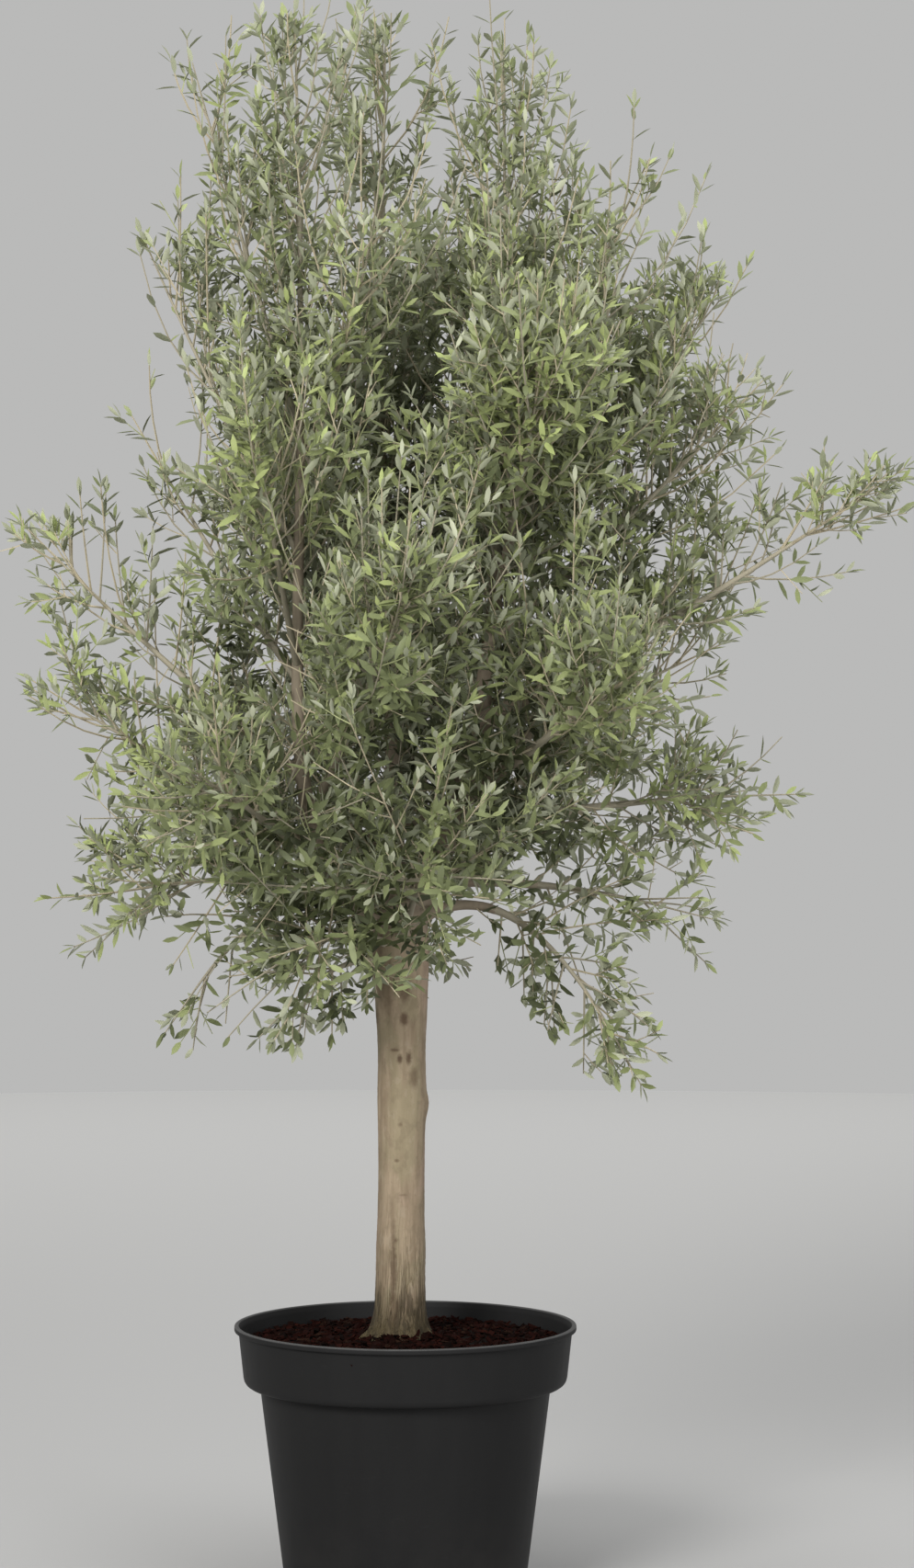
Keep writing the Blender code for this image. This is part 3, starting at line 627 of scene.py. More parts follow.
def grow_masses():
    made = []
    for top in TOPS:
        reach = top.height - LEADERS[top.stem].top
        thick = LEADERS[top.stem].tip_radius
        start = 2 * SEAT_GAP / reach
        path = partial(top_point, top)
        made.append(Mass(top.name, path, start, 0.06, top.width, reach, thick, 0))
    for limb in LIMBS:
        path = partial(limb_point, limb)
        start = limb.bare + 1.2 * SEAT_GAP / limb.reach if has_bough(limb) else 0
        thick = bough_radius(limb, start)
        hangs = max(0, -limb.arch)
        made.append(Mass(limb.name, path, start, limb.bare, limb.width, limb.reach, thick, hangs))
    return made


class Wood:
    """The limbs as chains of cones, to keep leaves and shoots clear of them."""

    def __init__(self):
        self.starts, self.ends, self.thick, self.owners = [], [], [], []

    def add(self, owner, points, radii):
        for i in range(len(points) - 1):
            self.starts.append(points[i])
            self.ends.append(points[i + 1])
            self.thick.append(max(radii[i], radii[i + 1]))
            self.owners.append(owner)

    def clear(self, points, owner):
        """How far each point is from the nearest wood that isn't the owner's."""
        kept = np.array(self.owners) != owner
        a, b = np.array(self.starts)[kept], np.array(self.ends)[kept]
        run = b - a
        share = np.einsum("pij,ij->pi", points[:, None] - a[None], run) / (run**2).sum(axis=1)
        near = a[None] + np.clip(share, 0, 1)[..., None] * run[None]
        apart = np.linalg.norm(points[:, None] - near, axis=2)
        return (apart - np.array(self.thick)[kept]).min(axis=1)


def name_of(owner):
    """The name of a mass, or of a limb that is given by its name."""
    return getattr(owner, "name", owner)


class Crown:
    """All the masses and all the wood, and what may grow where."""

    def __init__(self):
        self.masses = grow_masses()
        self.centres = np.concatenate([mass.centres for mass in self.masses])
        self.radii = np.concatenate([mass.radii for mass in self.masses])
        self.wood = Wood()

    def depths(self, points):
        """How far each point is outside each mass's space, and below 0 inside it."""
        apart = np.linalg.norm(points[:, None] - self.centres[None], axis=2) - self.radii
        return apart.reshape(len(points), len(self.masses), Mass.BALLS).min(axis=2)

    def free(self, points, owner, overhang, mingle):
        """True where a point is off the wood and in its mass's space, and hardly in another's. With no
        mingle given it may be in any mass's space, or in the gaps of the crown's middle."""
        points = np.asarray(points, float).reshape(-1, 3)
        depths = self.depths(points)
        off_wood = self.wood.clear(points, name_of(owner)) > LEAF_CLEARANCE
        if mingle is None:
            return (depths.min(axis=1) < overhang + heart_gap(points)) & off_wood
        at = self.masses.index(owner)
        own = depths[:, at].copy()
        depths[:, at] = np.inf
        return (own < overhang) & (own < depths.min(axis=1) + mingle) & off_wood


def heart_gap(points):
    """How far outside the masses an inner shoot may be at each point: most in the crown's middle."""
    out = np.hypot(points[:, 0] - HEART_X, points[:, 1]) / HEART_RADIUS
    height = points[:, 2]
    inside = np.clip((height - HEART_FOOT) / 0.05, 0, 1) * np.clip((HEART_TOP - height) / 0.15, 0, 1)
    return HEART_GAP * np.clip(1.5 - 1.5 * out, 0, 1) * inside


# ---------------------------------------------------------------- shoots and leaves

Shoot = namedtuple("Shoot", "start way bend length radius tip_radius tint whip hangs")


def shoot_points(shoot, shares):
    shares = np.asarray(shares, float)[..., None]
    return shoot.start + shoot.length * (shoot.way * shares + shoot.bend * shares**2)


def shoot_ahead(shoot, shares):
    shares = np.asarray(shares, float)[..., None]
    return unit(shoot.way + 2 * shoot.bend * shares)


def free_length(start, way, owner, crown, overhang, mingle):
    """How far a straight shoot can run inside its own space."""
    steps = np.arange(FEEL_STEPS)[:, None] + FIRST_STEP
    spots = np.array(start) + np.array(way) * FEEL_STEP * steps
    free = crown.free(spots, owner, overhang, mingle)
    stop = int(np.argmin(free)) if not free.all() else len(spots)
    return FEEL_STEP * (stop + FIRST_STEP - 1) if stop else 0


def upward(place, hangs):
    """How much a shoot turns upwards: most high in the crown, and down where the mass hangs."""
    high = min(1, max(0, (place[2] - 1.0) / 0.45))
    far_out = min(1, max(0, (abs(place[0]) - 0.35) / 0.20))
    return RISE * high * (1 - 0.9 * far_out) - 0.35 * min(1, 1.5 * hangs)


def room_outside(owner):
    """How far outside the masses an owner's finer shoots may be."""
    if name_of(owner).startswith("top"):
        return TOP_GAP
    return CREST_GAP if name_of(owner).startswith(("crest", "high_front")) else FINE_GAP


def shortened(start, way, bend, length):
    """The length that keeps a bent shoot's tip in the solids' box."""
    while length > 0.02 and not in_box(start + length * (way + bend)):
        length *= 0.9
    return length


def off_stem(ahead, turn, spread):
    """The way of a shoot that leaves a stem at a turn round it and at a spread from its run."""
    across = ahead.orthogonal().normalized()
    across.rotate(Matrix.Rotation(turn, 3, ahead))
    return ahead * math.cos(spread) + across * math.sin(spread)


def stem_shoots(mass, crown, count, offset, dice, overhang, mingle):
    """The shoots off a mass's stem: each a golden turn on from the last, wide low down and closing
    towards the tip, and as long as the mass's space lets it be."""
    for i in range(count):
        along = (i + offset) / count
        share = mass.leafy + (mass.end - mass.leafy) * along
        start = mass.path(share)
        ahead = (mass.path(share + 0.01) - start).normalized()
        turn = (i + 3 * (offset - SOLID_OFFSET)) * GOLDEN_TURN + dice.uniform(-0.35, 0.35)
        spread = math.radians(66 - 30 * along + dice.uniform(-6, 6))
        way = off_stem(ahead, turn, spread)
        wander = Vector((dice.gauss(0, WANDER), dice.gauss(0, WANDER), dice.gauss(0, WANDER)))
        way = (way + wander + Vector((0, 0, 0.10 + 0.55 * upward(start, mass.hangs)))).normalized()
        room = free_length(start, way, mass, crown, overhang, mingle)
        yield start, way, min(room, 2.2 * mass.width)


def main_shoots(mass, crown):
    """The shoots that the solid has, and finer ones between them."""
    dice = random.Random(mass.name)
    count = max(3, round((mass.end - mass.leafy) * mass.reach / SHOOT_SPACING))
    found = list(stem_shoots(mass, crown, count, SOLID_OFFSET, dice, 0, -LEAF_CLEARANCE))
    fine = round(FINE_SHOOTS * count * fullness(mass))
    fine_dice = random.Random(mass.name + " fine")
    found += stem_shoots(mass, crown, fine, FINE_OFFSET, fine_dice, room_outside(mass), None)
    made = []
    for start, way, room in found:
        if room < SHORTEST_ROOM:
            continue
        start, way = np.array(start), np.array(way)
        turn_up = upward(start, mass.hangs)
        lift = 0.05 + (0.85 if turn_up > 0 else 0.5) * turn_up + dice.gauss(0, 0.06)
        bend = lift * (UP - way * way[2])
        whip = dice.random() < WHIP_CHANCE and mass.hangs < 0.5
        length = room * dice.uniform(0.85, 1.0) + (WHIP_RUN * dice.uniform(0.5, 1) if whip else 0)
        length = shortened(start, way, bend, length)
        tip = start + length * (way + bend)
        if length < SHORTEST_SHOOT or left_out(mass, tip, dice) or crosses_slit(start, way, length):
            continue
        radii = (SHOOT_RADIUS, SHOOT_TIP_RADIUS)
        made.append(Shoot(start, way, bend, length, *radii, tint_of(tip, dice), whip, mass.hangs))
    return made


def in_box(points):
    """True where points are in the solids' box, or barely out of its sides."""
    slack = np.array((BOX_SLACK, BOX_SLACK, 0))
    low, high = np.array(solid_low) - slack, np.array(solid_high) + slack
    return ((points > low) & (points < high)).all(axis=-1)


def openness(places):
    """The share of the foliage that is left out at each place, seen from the front."""
    x, height, half_width, half_height, share = np.array(OPEN_PLACES).T
    across = (places[..., 0, None] - x) / half_width
    up = (places[..., 2, None] - height) / half_height
    return (share * np.exp(-((across**2 + up**2) ** 1.5))).max(axis=-1)


def against_sky(owner):
    """True for a limb that shows by itself against the sky, and keeps all its leaves."""
    return name_of(owner).endswith(SKY_LIMBS)


def left_out(owner, tip, dice):
    """True for a shoot whose tip is where the sky shows, and for some of those high in the crown."""
    if against_sky(owner):
        return False
    airy = AIRY_SHARE * min(1, max(0, (tip[2] - AIRY_HEIGHT) / AIRY_RUN))
    return dice.random() < max(airy, float(openness(tip)))


def inner_shoots(name, path, crown):
    """Leafy shoots off a bare limb, into the gaps between the masses."""
    dice = random.Random(name + " inner")
    hangs = 0.2 if "weep" in name else 0
    longest = SKY_INNER if against_sky(name) else LONGEST_INNER
    run = float(np.linalg.norm(np.diff(path(np.linspace(0, 1, 12)), axis=0), axis=1).sum())
    made = []
    for i in range(int(run / HEART_SPACING)):
        share = (i + dice.random()) * HEART_SPACING / run
        start = Vector(path(share))
        ahead = (Vector(path(share + 0.01)) - start).normalized()
        turn = i * GOLDEN_TURN + dice.uniform(-0.4, 0.4)
        spread = math.radians(dice.uniform(40, 72))
        way = off_stem(ahead, turn, spread)
        way = (way + Vector((0, 0, 0.12 + upward(start, hangs)))).normalized()
        room = free_length(start, way, name, crown, 0, None)
        length = min(room, longest * dice.uniform(0.4, 1.0))
        if crosses_slit(start, way, length):
            continue
        tip = np.array(start + way * length)
        if length > SHORTEST_ROOM and not left_out(name, tip, dice):
            bend = dice.uniform(0.0, 0.16) * (UP - np.array(way) * way.z)
            tint = tint_of(tip, dice) - HEART_SHADE
            radii = (SHOOT_RADIUS, SHOOT_TIP_RADIUS)
            made.append(Shoot(np.array(start), np.array(way), bend, length, *radii, tint, False, 0))
    return made


def side_shoots(parent, owner, crown, dice):
    """Side shoots in pairs along a shoot, a quarter turn on at each pair, shorter towards the tip."""
    made = []
    full = 0.4 + 0.6 * fullness(owner)
    count = int((parent.length - SIDE_FOOT) / SIDE_SPACING)
    first, second = square_to(parent.way)
    turn = dice.uniform(0, math.pi)
    for i in range(count):
        share = (SIDE_FOOT + SIDE_SPACING * (i + dice.uniform(0, 0.5))) / parent.length
        start = shoot_points(parent, share)
        ahead = shoot_ahead(parent, share)
        angle = turn + 0.5 * math.pi * i + dice.uniform(-0.3, 0.3)
        across = first * math.cos(angle) + second * math.sin(angle)
        for side in (1, -1):
            if dice.random() > (0.4 if parent.whip else 1) * SIDE_CHANCE * full:
                continue
            spread = math.radians(dice.uniform(38, 60))
            way = ahead * math.cos(spread) + side * across * math.sin(spread)
            way = unit(way + (0.05 + 0.6 * upward(start, parent.hangs)) * UP)
            room = free_length(start, way, owner, crown, SIDE_GAP, None)
            wanted = (0.030 + 0.42 * parent.length * (1 - share)) * dice.uniform(0.6, 1.15)
            length = min(room, wanted)
            if left_out(owner, start + way * length, dice) or length <= SHORTEST_SIDE:
                continue
            bend = dice.uniform(-0.05, 0.16) * (UP - way * way[2])
            radii, tint = (SIDE_RADIUS, SIDE_TIP_RADIUS), parent.tint + dice.gauss(0, 0.3)
            made.append(Shoot(start, way, bend, length, *radii, tint, False, parent.hangs))
    return made


class Leaves:
    """Leaves in the making: root, way, upper face, length, width, curl and tint of each."""

    def __init__(self):
        names = ("root", "way", "face", "length", "width", "curl", "tint", "overhang")
        self.rows = {name: [] for name in names}

    def take(self, **rows):
        for name, row in rows.items():
            self.rows[name].append(np.atleast_1d(row))

    def gather(self):
        return {name: np.concatenate(rows) for name, rows in self.rows.items()}


def leaf_pairs(leaves, shoot, dice, bare=SIDE_BARE):
    """Pairs of leaves down a shoot from its tip, a quarter turn on at each pair, small and closed
    at the tip, and full size and wide open lower down. One more leaf ends the shoot."""
    spacing = WHIP_NODE_SPACING if shoot.whip else NODE_SPACING * (1 + 0.5 * min(1, shoot.hangs))
    spacing = spacing * dice.uniform(0.85, 1.15)
    count = max(1, int((shoot.length - bare) / spacing + 1.5))
    steps = spacing * np.minimum(1, 0.35 + 0.25 * np.arange(count)) * dice.uniform(0.85, 1.15, count)
    back = np.cumsum(steps) - 0.6 * steps[0]
    back = back[back < shoot.length - bare]
    count = len(back)
    if count:
        shares = np.repeat(1 - back / shoot.length, 2)
        age = np.repeat(np.arange(count), 2)
        side = np.tile((1.0, -1.0), count)
        ahead = shoot_ahead(shoot, shares)
        first, second = square_to(ahead)
        turn = dice.uniform(0, math.pi) + 0.5 * math.pi * age + np.repeat(dice.normal(0, 0.18, count), 2)
        across = first * np.cos(turn)[:, None] + second * np.sin(turn)[:, None]
        spread = np.radians(31 + 12 * np.minimum(age, 3) + dice.normal(0, 8, 2 * count))
        way = ahead * np.cos(spread)[:, None] + across * (side * np.sin(spread))[:, None]
        way = unit(way + 0.10 * UP)
        size = np.minimum(1, 0.66 + 0.17 * age) * dice.uniform(0.82, 1.14, 2 * count)
        add_leaves(leaves, shoot_points(shoot, shares), way, ahead, size, shoot, dice)
    end = shoot_ahead(shoot, np.array([1.0]))
    face = unit(UP + dice.normal(0, 0.6, 3))[None]
    add_leaves(leaves, shoot_points(shoot, [1.0]), end, face, np.array([END_LEAF]), shoot, dice)


def add_leaves(leaves, root, way, face, size, shoot, dice):
    """Takes leaves whose upper faces turn to a direction as far as their ways allow."""
    count = len(root)
    face = face + 0.40 * UP + dice.normal(0, 0.42, (count, 3))
    face = unit(face - way * (face * way).sum(axis=1, keepdims=True))
    broader = 1 + 0.25 * min(1, shoot.hangs)
    leaves.take(
        root=root,
        way=way,
        face=face,
        length=LEAF_LENGTH * size,
        width=LEAF_WIDTH * size**0.7 * dice.uniform(0.88, 1.12, count) * broader,
        curl=dice.normal(0.10, 0.07, count),
        tint=shoot.tint + dice.normal(0, 0.65, count) + 0.8 * (size < 0.75),
        overhang=np.full(count, LEAF_OVERHANG + (WHIP_RUN if shoot.whip else 0)),
    )


def chance_at(points):
    """A settled random number from 0 to 1 for each point."""
    return lattice(np.round(points * 1e4))


def keep_free(rows, owner, crown):
    """Drops the leaves that would leave their room, touch the wood, or hide the bare stem in front."""
    tips = rows["root"] + rows["way"] * rows["length"][:, None]
    middles = rows["root"] + rows["way"] * 0.55 * rows["length"][:, None]
    overhang = rows["overhang"] + room_outside(owner)
    free = in_box(tips) & crown.free(tips, owner, overhang, None)
    free &= crown.free(middles, owner, overhang, None)
    hidden = in_slit(rows["root"]) | in_slit(middles) | in_slit(tips)
    free &= ~(hidden & (chance_at(middles) < SLIT_SHARE))
    if not against_sky(owner):
        free &= chance_at(tips) > openness(middles)
    return {name: values[free] for name, values in rows.items()}


def in_slit(points):
    """True where points are right in front of the left leader, which shows there."""
    stem = leader_axis("leader_left", points[:, 2])
    before = (np.abs(points[:, 0] - stem[:, 0]) < SLIT_HALF_WIDTH) & (points[:, 1] < stem[:, 1])
    return before & (points[:, 2] > SLIT_FOOT) & (points[:, 2] < SLIT_TOP)


def crosses_slit(start, way, length):
    """True where a shoot would run for long in front of the left leader."""
    spots = np.array(start) + np.array(way) * length * np.linspace(0, 1, 8)[:, None]
    return in_slit(spots).sum() > 2


def leaf_shape():
    """A leaf's points as (along, across, above, below) shares, and its upper and lower faces."""
    points = [(0, 0, 0, 0)]
    for along, wide in LEAF_STATIONS:
        edge = LEAF_FOLD * wide
        points += [(along, -wide / 2, edge, 0), (along, 0, 0, 0)]
        points += [(along, wide / 2, edge, 0), (along, 0, 0, 1)]
    points.append((1, 0, 0, 0))
    tip = len(points) - 1
    last = tip - 4
    fans = [(0, 2, 1), (0, 3, 2), (tip, last, last + 1), (tip, last + 1, last + 2)]
    under_fans = [(0, 1, 4), (0, 4, 3), (tip, last + 3, last), (tip, last + 2, last + 3)]
    quads, under_quads = [], []
    for station in range(len(LEAF_STATIONS) - 1):
        left, rib, right, keel = range(1 + 4 * station, 5 + 4 * station)
        quads += [(left, rib, rib + 4, left + 4), (rib, right, right + 4, rib + 4)]
        under_quads += [(left, left + 4, keel + 4, keel), (right, keel, keel + 4, right + 4)]
    return np.array(points, float), (fans, quads), (under_fans, under_quads)


LEAF_POINTS, LEAF_UPPER, LEAF_UNDER = leaf_shape()


def lay_leaves(soup, rows):
    """Adds every leaf of the rows to a soup, with its upper and lower finish."""
    along, across, above, below = LEAF_POINTS.T
    count = len(rows["root"])
    side = np.cross(rows["way"], rows["face"])
    length, width = rows["length"][:, None], rows["width"][:, None]
    run = along * length
    lift = above * width - below * LEAF_THICKNESS - rows["curl"][:, None] * along**2 * length
    points = (
        rows["root"][:, None]
        + rows["way"][:, None] * run[..., None]
        + side[:, None] * (across * width)[..., None]
        + rows["face"][:, None] * lift[..., None]
    )
    upper = np.clip(np.round(rows["tint"]), 0, len(UPPER_TINTS) - 1).astype(int)
    under = len(UPPER_TINTS) + (np.arange(count) + upper) % len(UNDER_TINTS)
    base = soup.count
    soup.add(points, np.zeros((0, 3)), 0)
    for patterns, finish in ((LEAF_UPPER, upper), (LEAF_UNDER, under)):
        for pattern in patterns:
            faces = np.array(pattern)[None] + base + len(LEAF_POINTS) * np.arange(count)[:, None, None]
            soup.faces.append(faces.reshape(-1, faces.shape[-1]))
            soup.finishes.append(np.repeat(finish, len(pattern)))


def lay_shoot(soup, shoot, rings, sides, finish):
    shares = np.linspace(0, 1, rings)
    radii = shoot.radius + (shoot.tip_radius - shoot.radius) * shares**0.8
    tube(soup, shoot_points(shoot, shares), radii, sides, finish)


# ---------------------------------------------------------------- the tints, dealt out by spray

UPPER_TINTS = (  # one green in steps of lightness, from the darkest, painted shade for the crown's inside, to the lightest, for the fresh tips
    ("leaf_deep", (0.062, 0.072, 0.033)),
    ("leaf_shade", (0.096, 0.112, 0.050)),
    ("leaf_dull", (0.140, 0.162, 0.072)),
    ("leaf_sage", (0.190, 0.218, 0.100)),
    ("leaf_olive", (0.232, 0.266, 0.112)),
    ("leaf_light", (0.285, 0.328, 0.130)),
    ("leaf_fresh", (0.330, 0.385, 0.148)),
    ("leaf_lime", (0.375, 0.440, 0.170)),
)
UNDER_TINTS = (
    ("underleaf_grey", (0.300, 0.318, 0.218)),
    ("underleaf_silver", (0.400, 0.420, 0.300)),
)
TWIG_TINTS = (
    ("twig_grey", (0.330, 0.300, 0.225)),
    ("twig_tan", (0.400, 0.350, 0.245)),
    ("twig_green", (0.300, 0.320, 0.165)),
)
FRESH_AND_PAINTED_LIGHT_PLACES = (  # sprays lighter on the front, partly fresh growth and partly painted light: x, height, radius, and how many tints lighter
    (-0.46, 1.40, 0.13, 2.4),
    (-0.46, 1.06, 0.12, 2.0),
    (0.42, 1.27, 0.13, 1.8),
    (0.60, 1.66, 0.12, 1.4),
    (-0.12, 1.69, 0.10, 1.8),
    (0.02, 1.15, 0.07, 2.2),
    (0.10, 1.31, 0.09, 1.4),
    (0.25, 1.95, 0.16, 1.0),
    (-0.25, 2.20, 0.15, 0.8),
)
# painted shade on the front's sprays: x, height, radius, and how many tints lighter, below 0 for darker
SHADED_PLACE = (0.02, 1.13, 0.36, -2.5)


def tint_of(place, dice):
    """The tint of a spray by where its tip is: darker inside the crown, which is painted shade, and on
    the front lighter at the fresh places, partly fresh growth and partly painted light, and darker at
    the shaded place, which is painted shade.
    """
    out = math.hypot(place[0], place[1]) / 0.45
    # painted shade: the tint is darker the nearer the spray is to the crown's middle
    tint = 2.05 + 1.45 * min(1, out) + dice.gauss(0, 0.7)
    for x, height, radius, tints_lighter in (*FRESH_AND_PAINTED_LIGHT_PLACES, SHADED_PLACE):
        apart = math.hypot(place[0] - x, place[2] - height) / radius
        if place[1] < 0.15:
            tint += tints_lighter * math.exp(-(apart**2))
    return tint


def leaf_material(name, colour, roughness):
    leaf = Finish(name, colour, roughness, specular=0.35)
    leaf.bump(leaf.noise(420, 2, (1, 1, 1)), 0.0004)
    return leaf.material


def twig_material(name, colour):
    twig = Finish(name, colour, 0.72, specular=0.25)
    twig.bump(twig.noise(300, 3), 0.0006)
    return twig.material


# ---------------------------------------------------------------- the crown

def side_of(mass):
    """The piece of the crown that a mass belongs to."""
    if mass.name.startswith(("top", "crest")):
        return "crest"
    for side in ("back", "front", "near", "left", "right"):
        if side in mass.name:
            return "front" if side == "near" else side


def fullness(owner):
    """The share of the finer shoots that a mass has."""
    for name, share in SPARSE_MASSES.items():
        if name_of(owner).startswith(name):
            return share
    return 1


def dress(owner, shoots, crown, leaf_soup, twig_soup):
    """Adds side shoots and leaves to a limb's shoots."""
    if not shoots:
        return
    dice = random.Random(name_of(owner) + " leaves")
    spread = np.random.default_rng(dice.randrange(2**31))
    sides = [side for parent in shoots for side in side_shoots(parent, owner, crown, dice)]
    leaves = Leaves()
    for shoot in shoots:
        lay_shoot(twig_soup, shoot, 5, 4, dice.randrange(2))
        leaf_pairs(leaves, shoot, spread, BARE_SHARE * shoot.length)
    for shoot in sides:
        lay_shoot(twig_soup, shoot, 3, 3, 2 if dice.random() < 0.6 else 1)
        leaf_pairs(leaves, shoot, spread)
    lay_leaves(leaf_soup, keep_free(leaves.gather(), owner, crown))


def end_shoot(mass):
    """The shoot that a mass's stem ends in."""
    stem_end = mass.curve(np.array([mass.end, mass.end + 0.02]))
    way = unit(stem_end[1] - stem_end[0])
    length = 0.95 * SOLID_LEAF_LENGTH - LEAF_LENGTH * 0.8
    tint = tint_of(stem_end[0], random.Random(mass.name + " end"))
    radii = (STEM_END_RADIUS, SHOOT_TIP_RADIUS)
    return Shoot(stem_end[0], way, 0 * way, length, *radii, tint, False, mass.hangs)


def leader_path(name, share):
    low = FORK_HEIGHT + 0.03
    return leader_axis(name, low + (LEADERS[name].top - low) * share)


def bough_path(limb, share):
    return limb_point(limb, (0.12 + 0.88 * share) * limb.bare)


def bare_limbs():
    """The side, name and path of each bare run that carries inner shoots."""
    for name in LEADERS:
        yield "middle", name, partial(leader_path, name)
    for limb in LIMBS:
        owner = "bough_" + limb.name if has_bough(limb) else limb.name
        yield side_of(limb), owner, partial(bough_path, limb)


def lay_stem(mass, soup):
    shares = np.linspace(max(0, mass.start - 0.012 / mass.reach), mass.end, 20)
    along = (shares - shares[0]) / (shares[-1] - shares[0])
    radii = mass.foot_radius + (STEM_END_RADIUS - mass.foot_radius) * along**0.8
    tube(soup, mass.curve(shares), radii, 7, 0)


def make_crown(crown):
    leaf_finishes = [leaf_material(name, colour, 0.52) for name, colour in UPPER_TINTS]
    leaf_finishes += [leaf_material(name, colour, 0.70) for name, colour in UNDER_TINTS]
    twig_finishes = [twig_material(name, colour) for name, colour in TWIG_TINTS]
    for side in ("crest", "front", "left", "right", "back", "middle"):
        members = [mass for mass in crown.masses if side_of(mass) == side]
        leaf_soup, twig_soup = Soup(), Soup()
        for mass in members:
            shoots = [*main_shoots(mass, crown), end_shoot(mass)]
            dress(mass, shoots, crown, leaf_soup, twig_soup)
            lay_stem(mass, twig_soup)
        for where, name, path in bare_limbs():
            if where == side:
                dress(name, inner_shoots(name, path, crown), crown, leaf_soup, twig_soup)
        nodes = ["foliage_" + mass.name for mass in members]
        for soup, name, finishes, crease in (
            (leaf_soup, "leaves_" + side, leaf_finishes, math.radians(70)),
            (twig_soup, "twigs_" + side, twig_finishes, math.radians(80)),
        ):
            piece = soup.piece(name, finishes, crease)
            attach(piece, "root")
            if nodes:
                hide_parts(*nodes)


# ---------------------------------------------------------------- the bark

ROOT_SINK = 0.006  # how far the trunk's foot goes down among the chips
FORK_COLLAR = 0.55  # how much thicker a limb is where it leaves its stem
COLLAR_RUN = 0.016
ROOT_TOES = (  # bearing in degrees, reach
    (200, 0.086),
    (248, 0.064),
    (318, 0.066),
    (348, 0.080),
    (60, 0.078),
    (130, 0.074),
)
TOE_RADII = (0.0105, 0.0030)
TOE_STEPS = 9

# Marks on the trunk: bearing in degrees from the front towards +X, height, half width, half height,
# how far it stands out (+) or in (-), and how dark it is.
MARKS = (
    (7, 0.848, 0.0055, 0.0080, -0.0012, 0.95),
    (9, 0.888, 0.0080, 0.0130, -0.0004, 0.75),
    (-16, 0.803, 0.0055, 0.0024, -0.0008, 0.80),
    (-4, 0.790, 0.0034, 0.0060, -0.0012, 0.95),
    (18, 0.792, 0.0040, 0.0085, -0.0012, 0.95),
    (30, 0.762, 0.0070, 0.0130, 0.0006, 0.60),
    # a flat dark patch high on the trunk's left, with no relief: painted shade under the crown
    (-34, 0.893, 0.0130, 0.0300, 0.0000, 0.45),
    (90, 0.722, 0.0120, 0.0150, 0.0042, 0.10),
    (-3, 0.695, 0.0032, 0.0030, -0.0007, 0.60),
    (-13, 0.642, 0.0036, 0.0022, -0.0009, 0.75),
    (-14, 0.526, 0.0036, 0.0030, -0.0010, 0.75),
    (4, 0.592, 0.0050, 0.0014, -0.0005, 0.45),
    # a groove down the trunk, darkened along it with painted shadow
    (-17, 0.490, 0.0040, 0.0520, -0.0012, 0.75),
    (-12, 0.430, 0.0060, 0.0300, -0.0006, 0.35),
    (130, 0.640, 0.0060, 0.0080, 0.0020, 0.60),
    (205, 0.780, 0.0050, 0.0060, -0.0012, 0.75),
    (170, 0.560, 0.0040, 0.0040, -0.0010, 0.70),
    (-70, 0.850, 0.0070, 0.0090, 0.0018, 0.55),
    (-110, 0.610, 0.0045, 0.0040, -0.0010, 0.70),
)


def mark_place(bearing, height):
    turn = math.radians(bearing)
    out = float(trunk_radius(height))
    return trunk_axis(height) + out * np.array((math.sin(turn), -math.cos(turn), 0))


def collared(radii, distances):
    """Thickens a limb where it leaves its stem."""
    return radii * (1 + FORK_COLLAR * np.exp(-np.asarray(distances) / COLLAR_RUN))


def root_toe(bearing, reach):
    """The path of a root that shows at the trunk's foot, from inside the wood down to the chips."""
    turn = math.radians(bearing)
    steps = np.linspace(0, 1, TOE_STEPS)
    out = 0.014 + (reach - 0.014) * steps
    height = SOIL_HEIGHT - 0.009 + 0.050 * (1 - steps) ** 1.8
    return np.stack([TRUNK_FOOT_X + out * math.cos(turn), out * math.sin(turn), height], axis=-1)


def rough_limbs():
    """Every limb as a loose tube: the trunk with its lobed foot, the leaders and the boughs."""
    soup = Soup()
    for bearing, reach in ROOT_TOES:
        tube(soup, root_toe(bearing, reach), np.linspace(*TOE_RADII, TOE_STEPS), 12)
    heights = np.linspace(SOIL_HEIGHT - ROOT_SINK, TRUNK_TOP, 110)
    rise = heights - SOIL_HEIGHT
    share = eased(np.maximum(rise, 0), TRUNK_RINGS)
    angles = np.arange(64) * 2 * math.pi / 64
    lobed = FLARE_LOBE_DEPTH * np.maximum(0, share - 1.05) / 0.5 * (rise < 0.2)
    swell = 1 + lobed[:, None] * np.cos(FLARE_LOBES * angles + 0.6)
    tube(soup, trunk_axis(heights), TRUNK_RADIUS * share[:, None] * swell, 64)
    for name, leader in LEADERS.items():
        climb = np.linspace(0, 1, 90) ** 1.4
        heights = FORK_HEIGHT - 0.02 + (leader.top - FORK_HEIGHT + 0.02) * climb
        radii = leader_radius(name, np.maximum(heights, FORK_HEIGHT))
        tube(soup, leader_axis(name, heights), collared(radii, 0.7 * (heights - FORK_HEIGHT + 0.02)), 24)
    for limb in LIMBS:
        if has_bough(limb):
            shares = np.linspace(0, limb.bare, 40)
            radii = bough_radius(limb, shares)
            foot = stem_radius(limb.stem, limb.fork)
            run = np.maximum(0, shares * limb.reach - foot)
            tube(soup, limb_point(limb, shares), collared(radii, run), 16)
    return soup


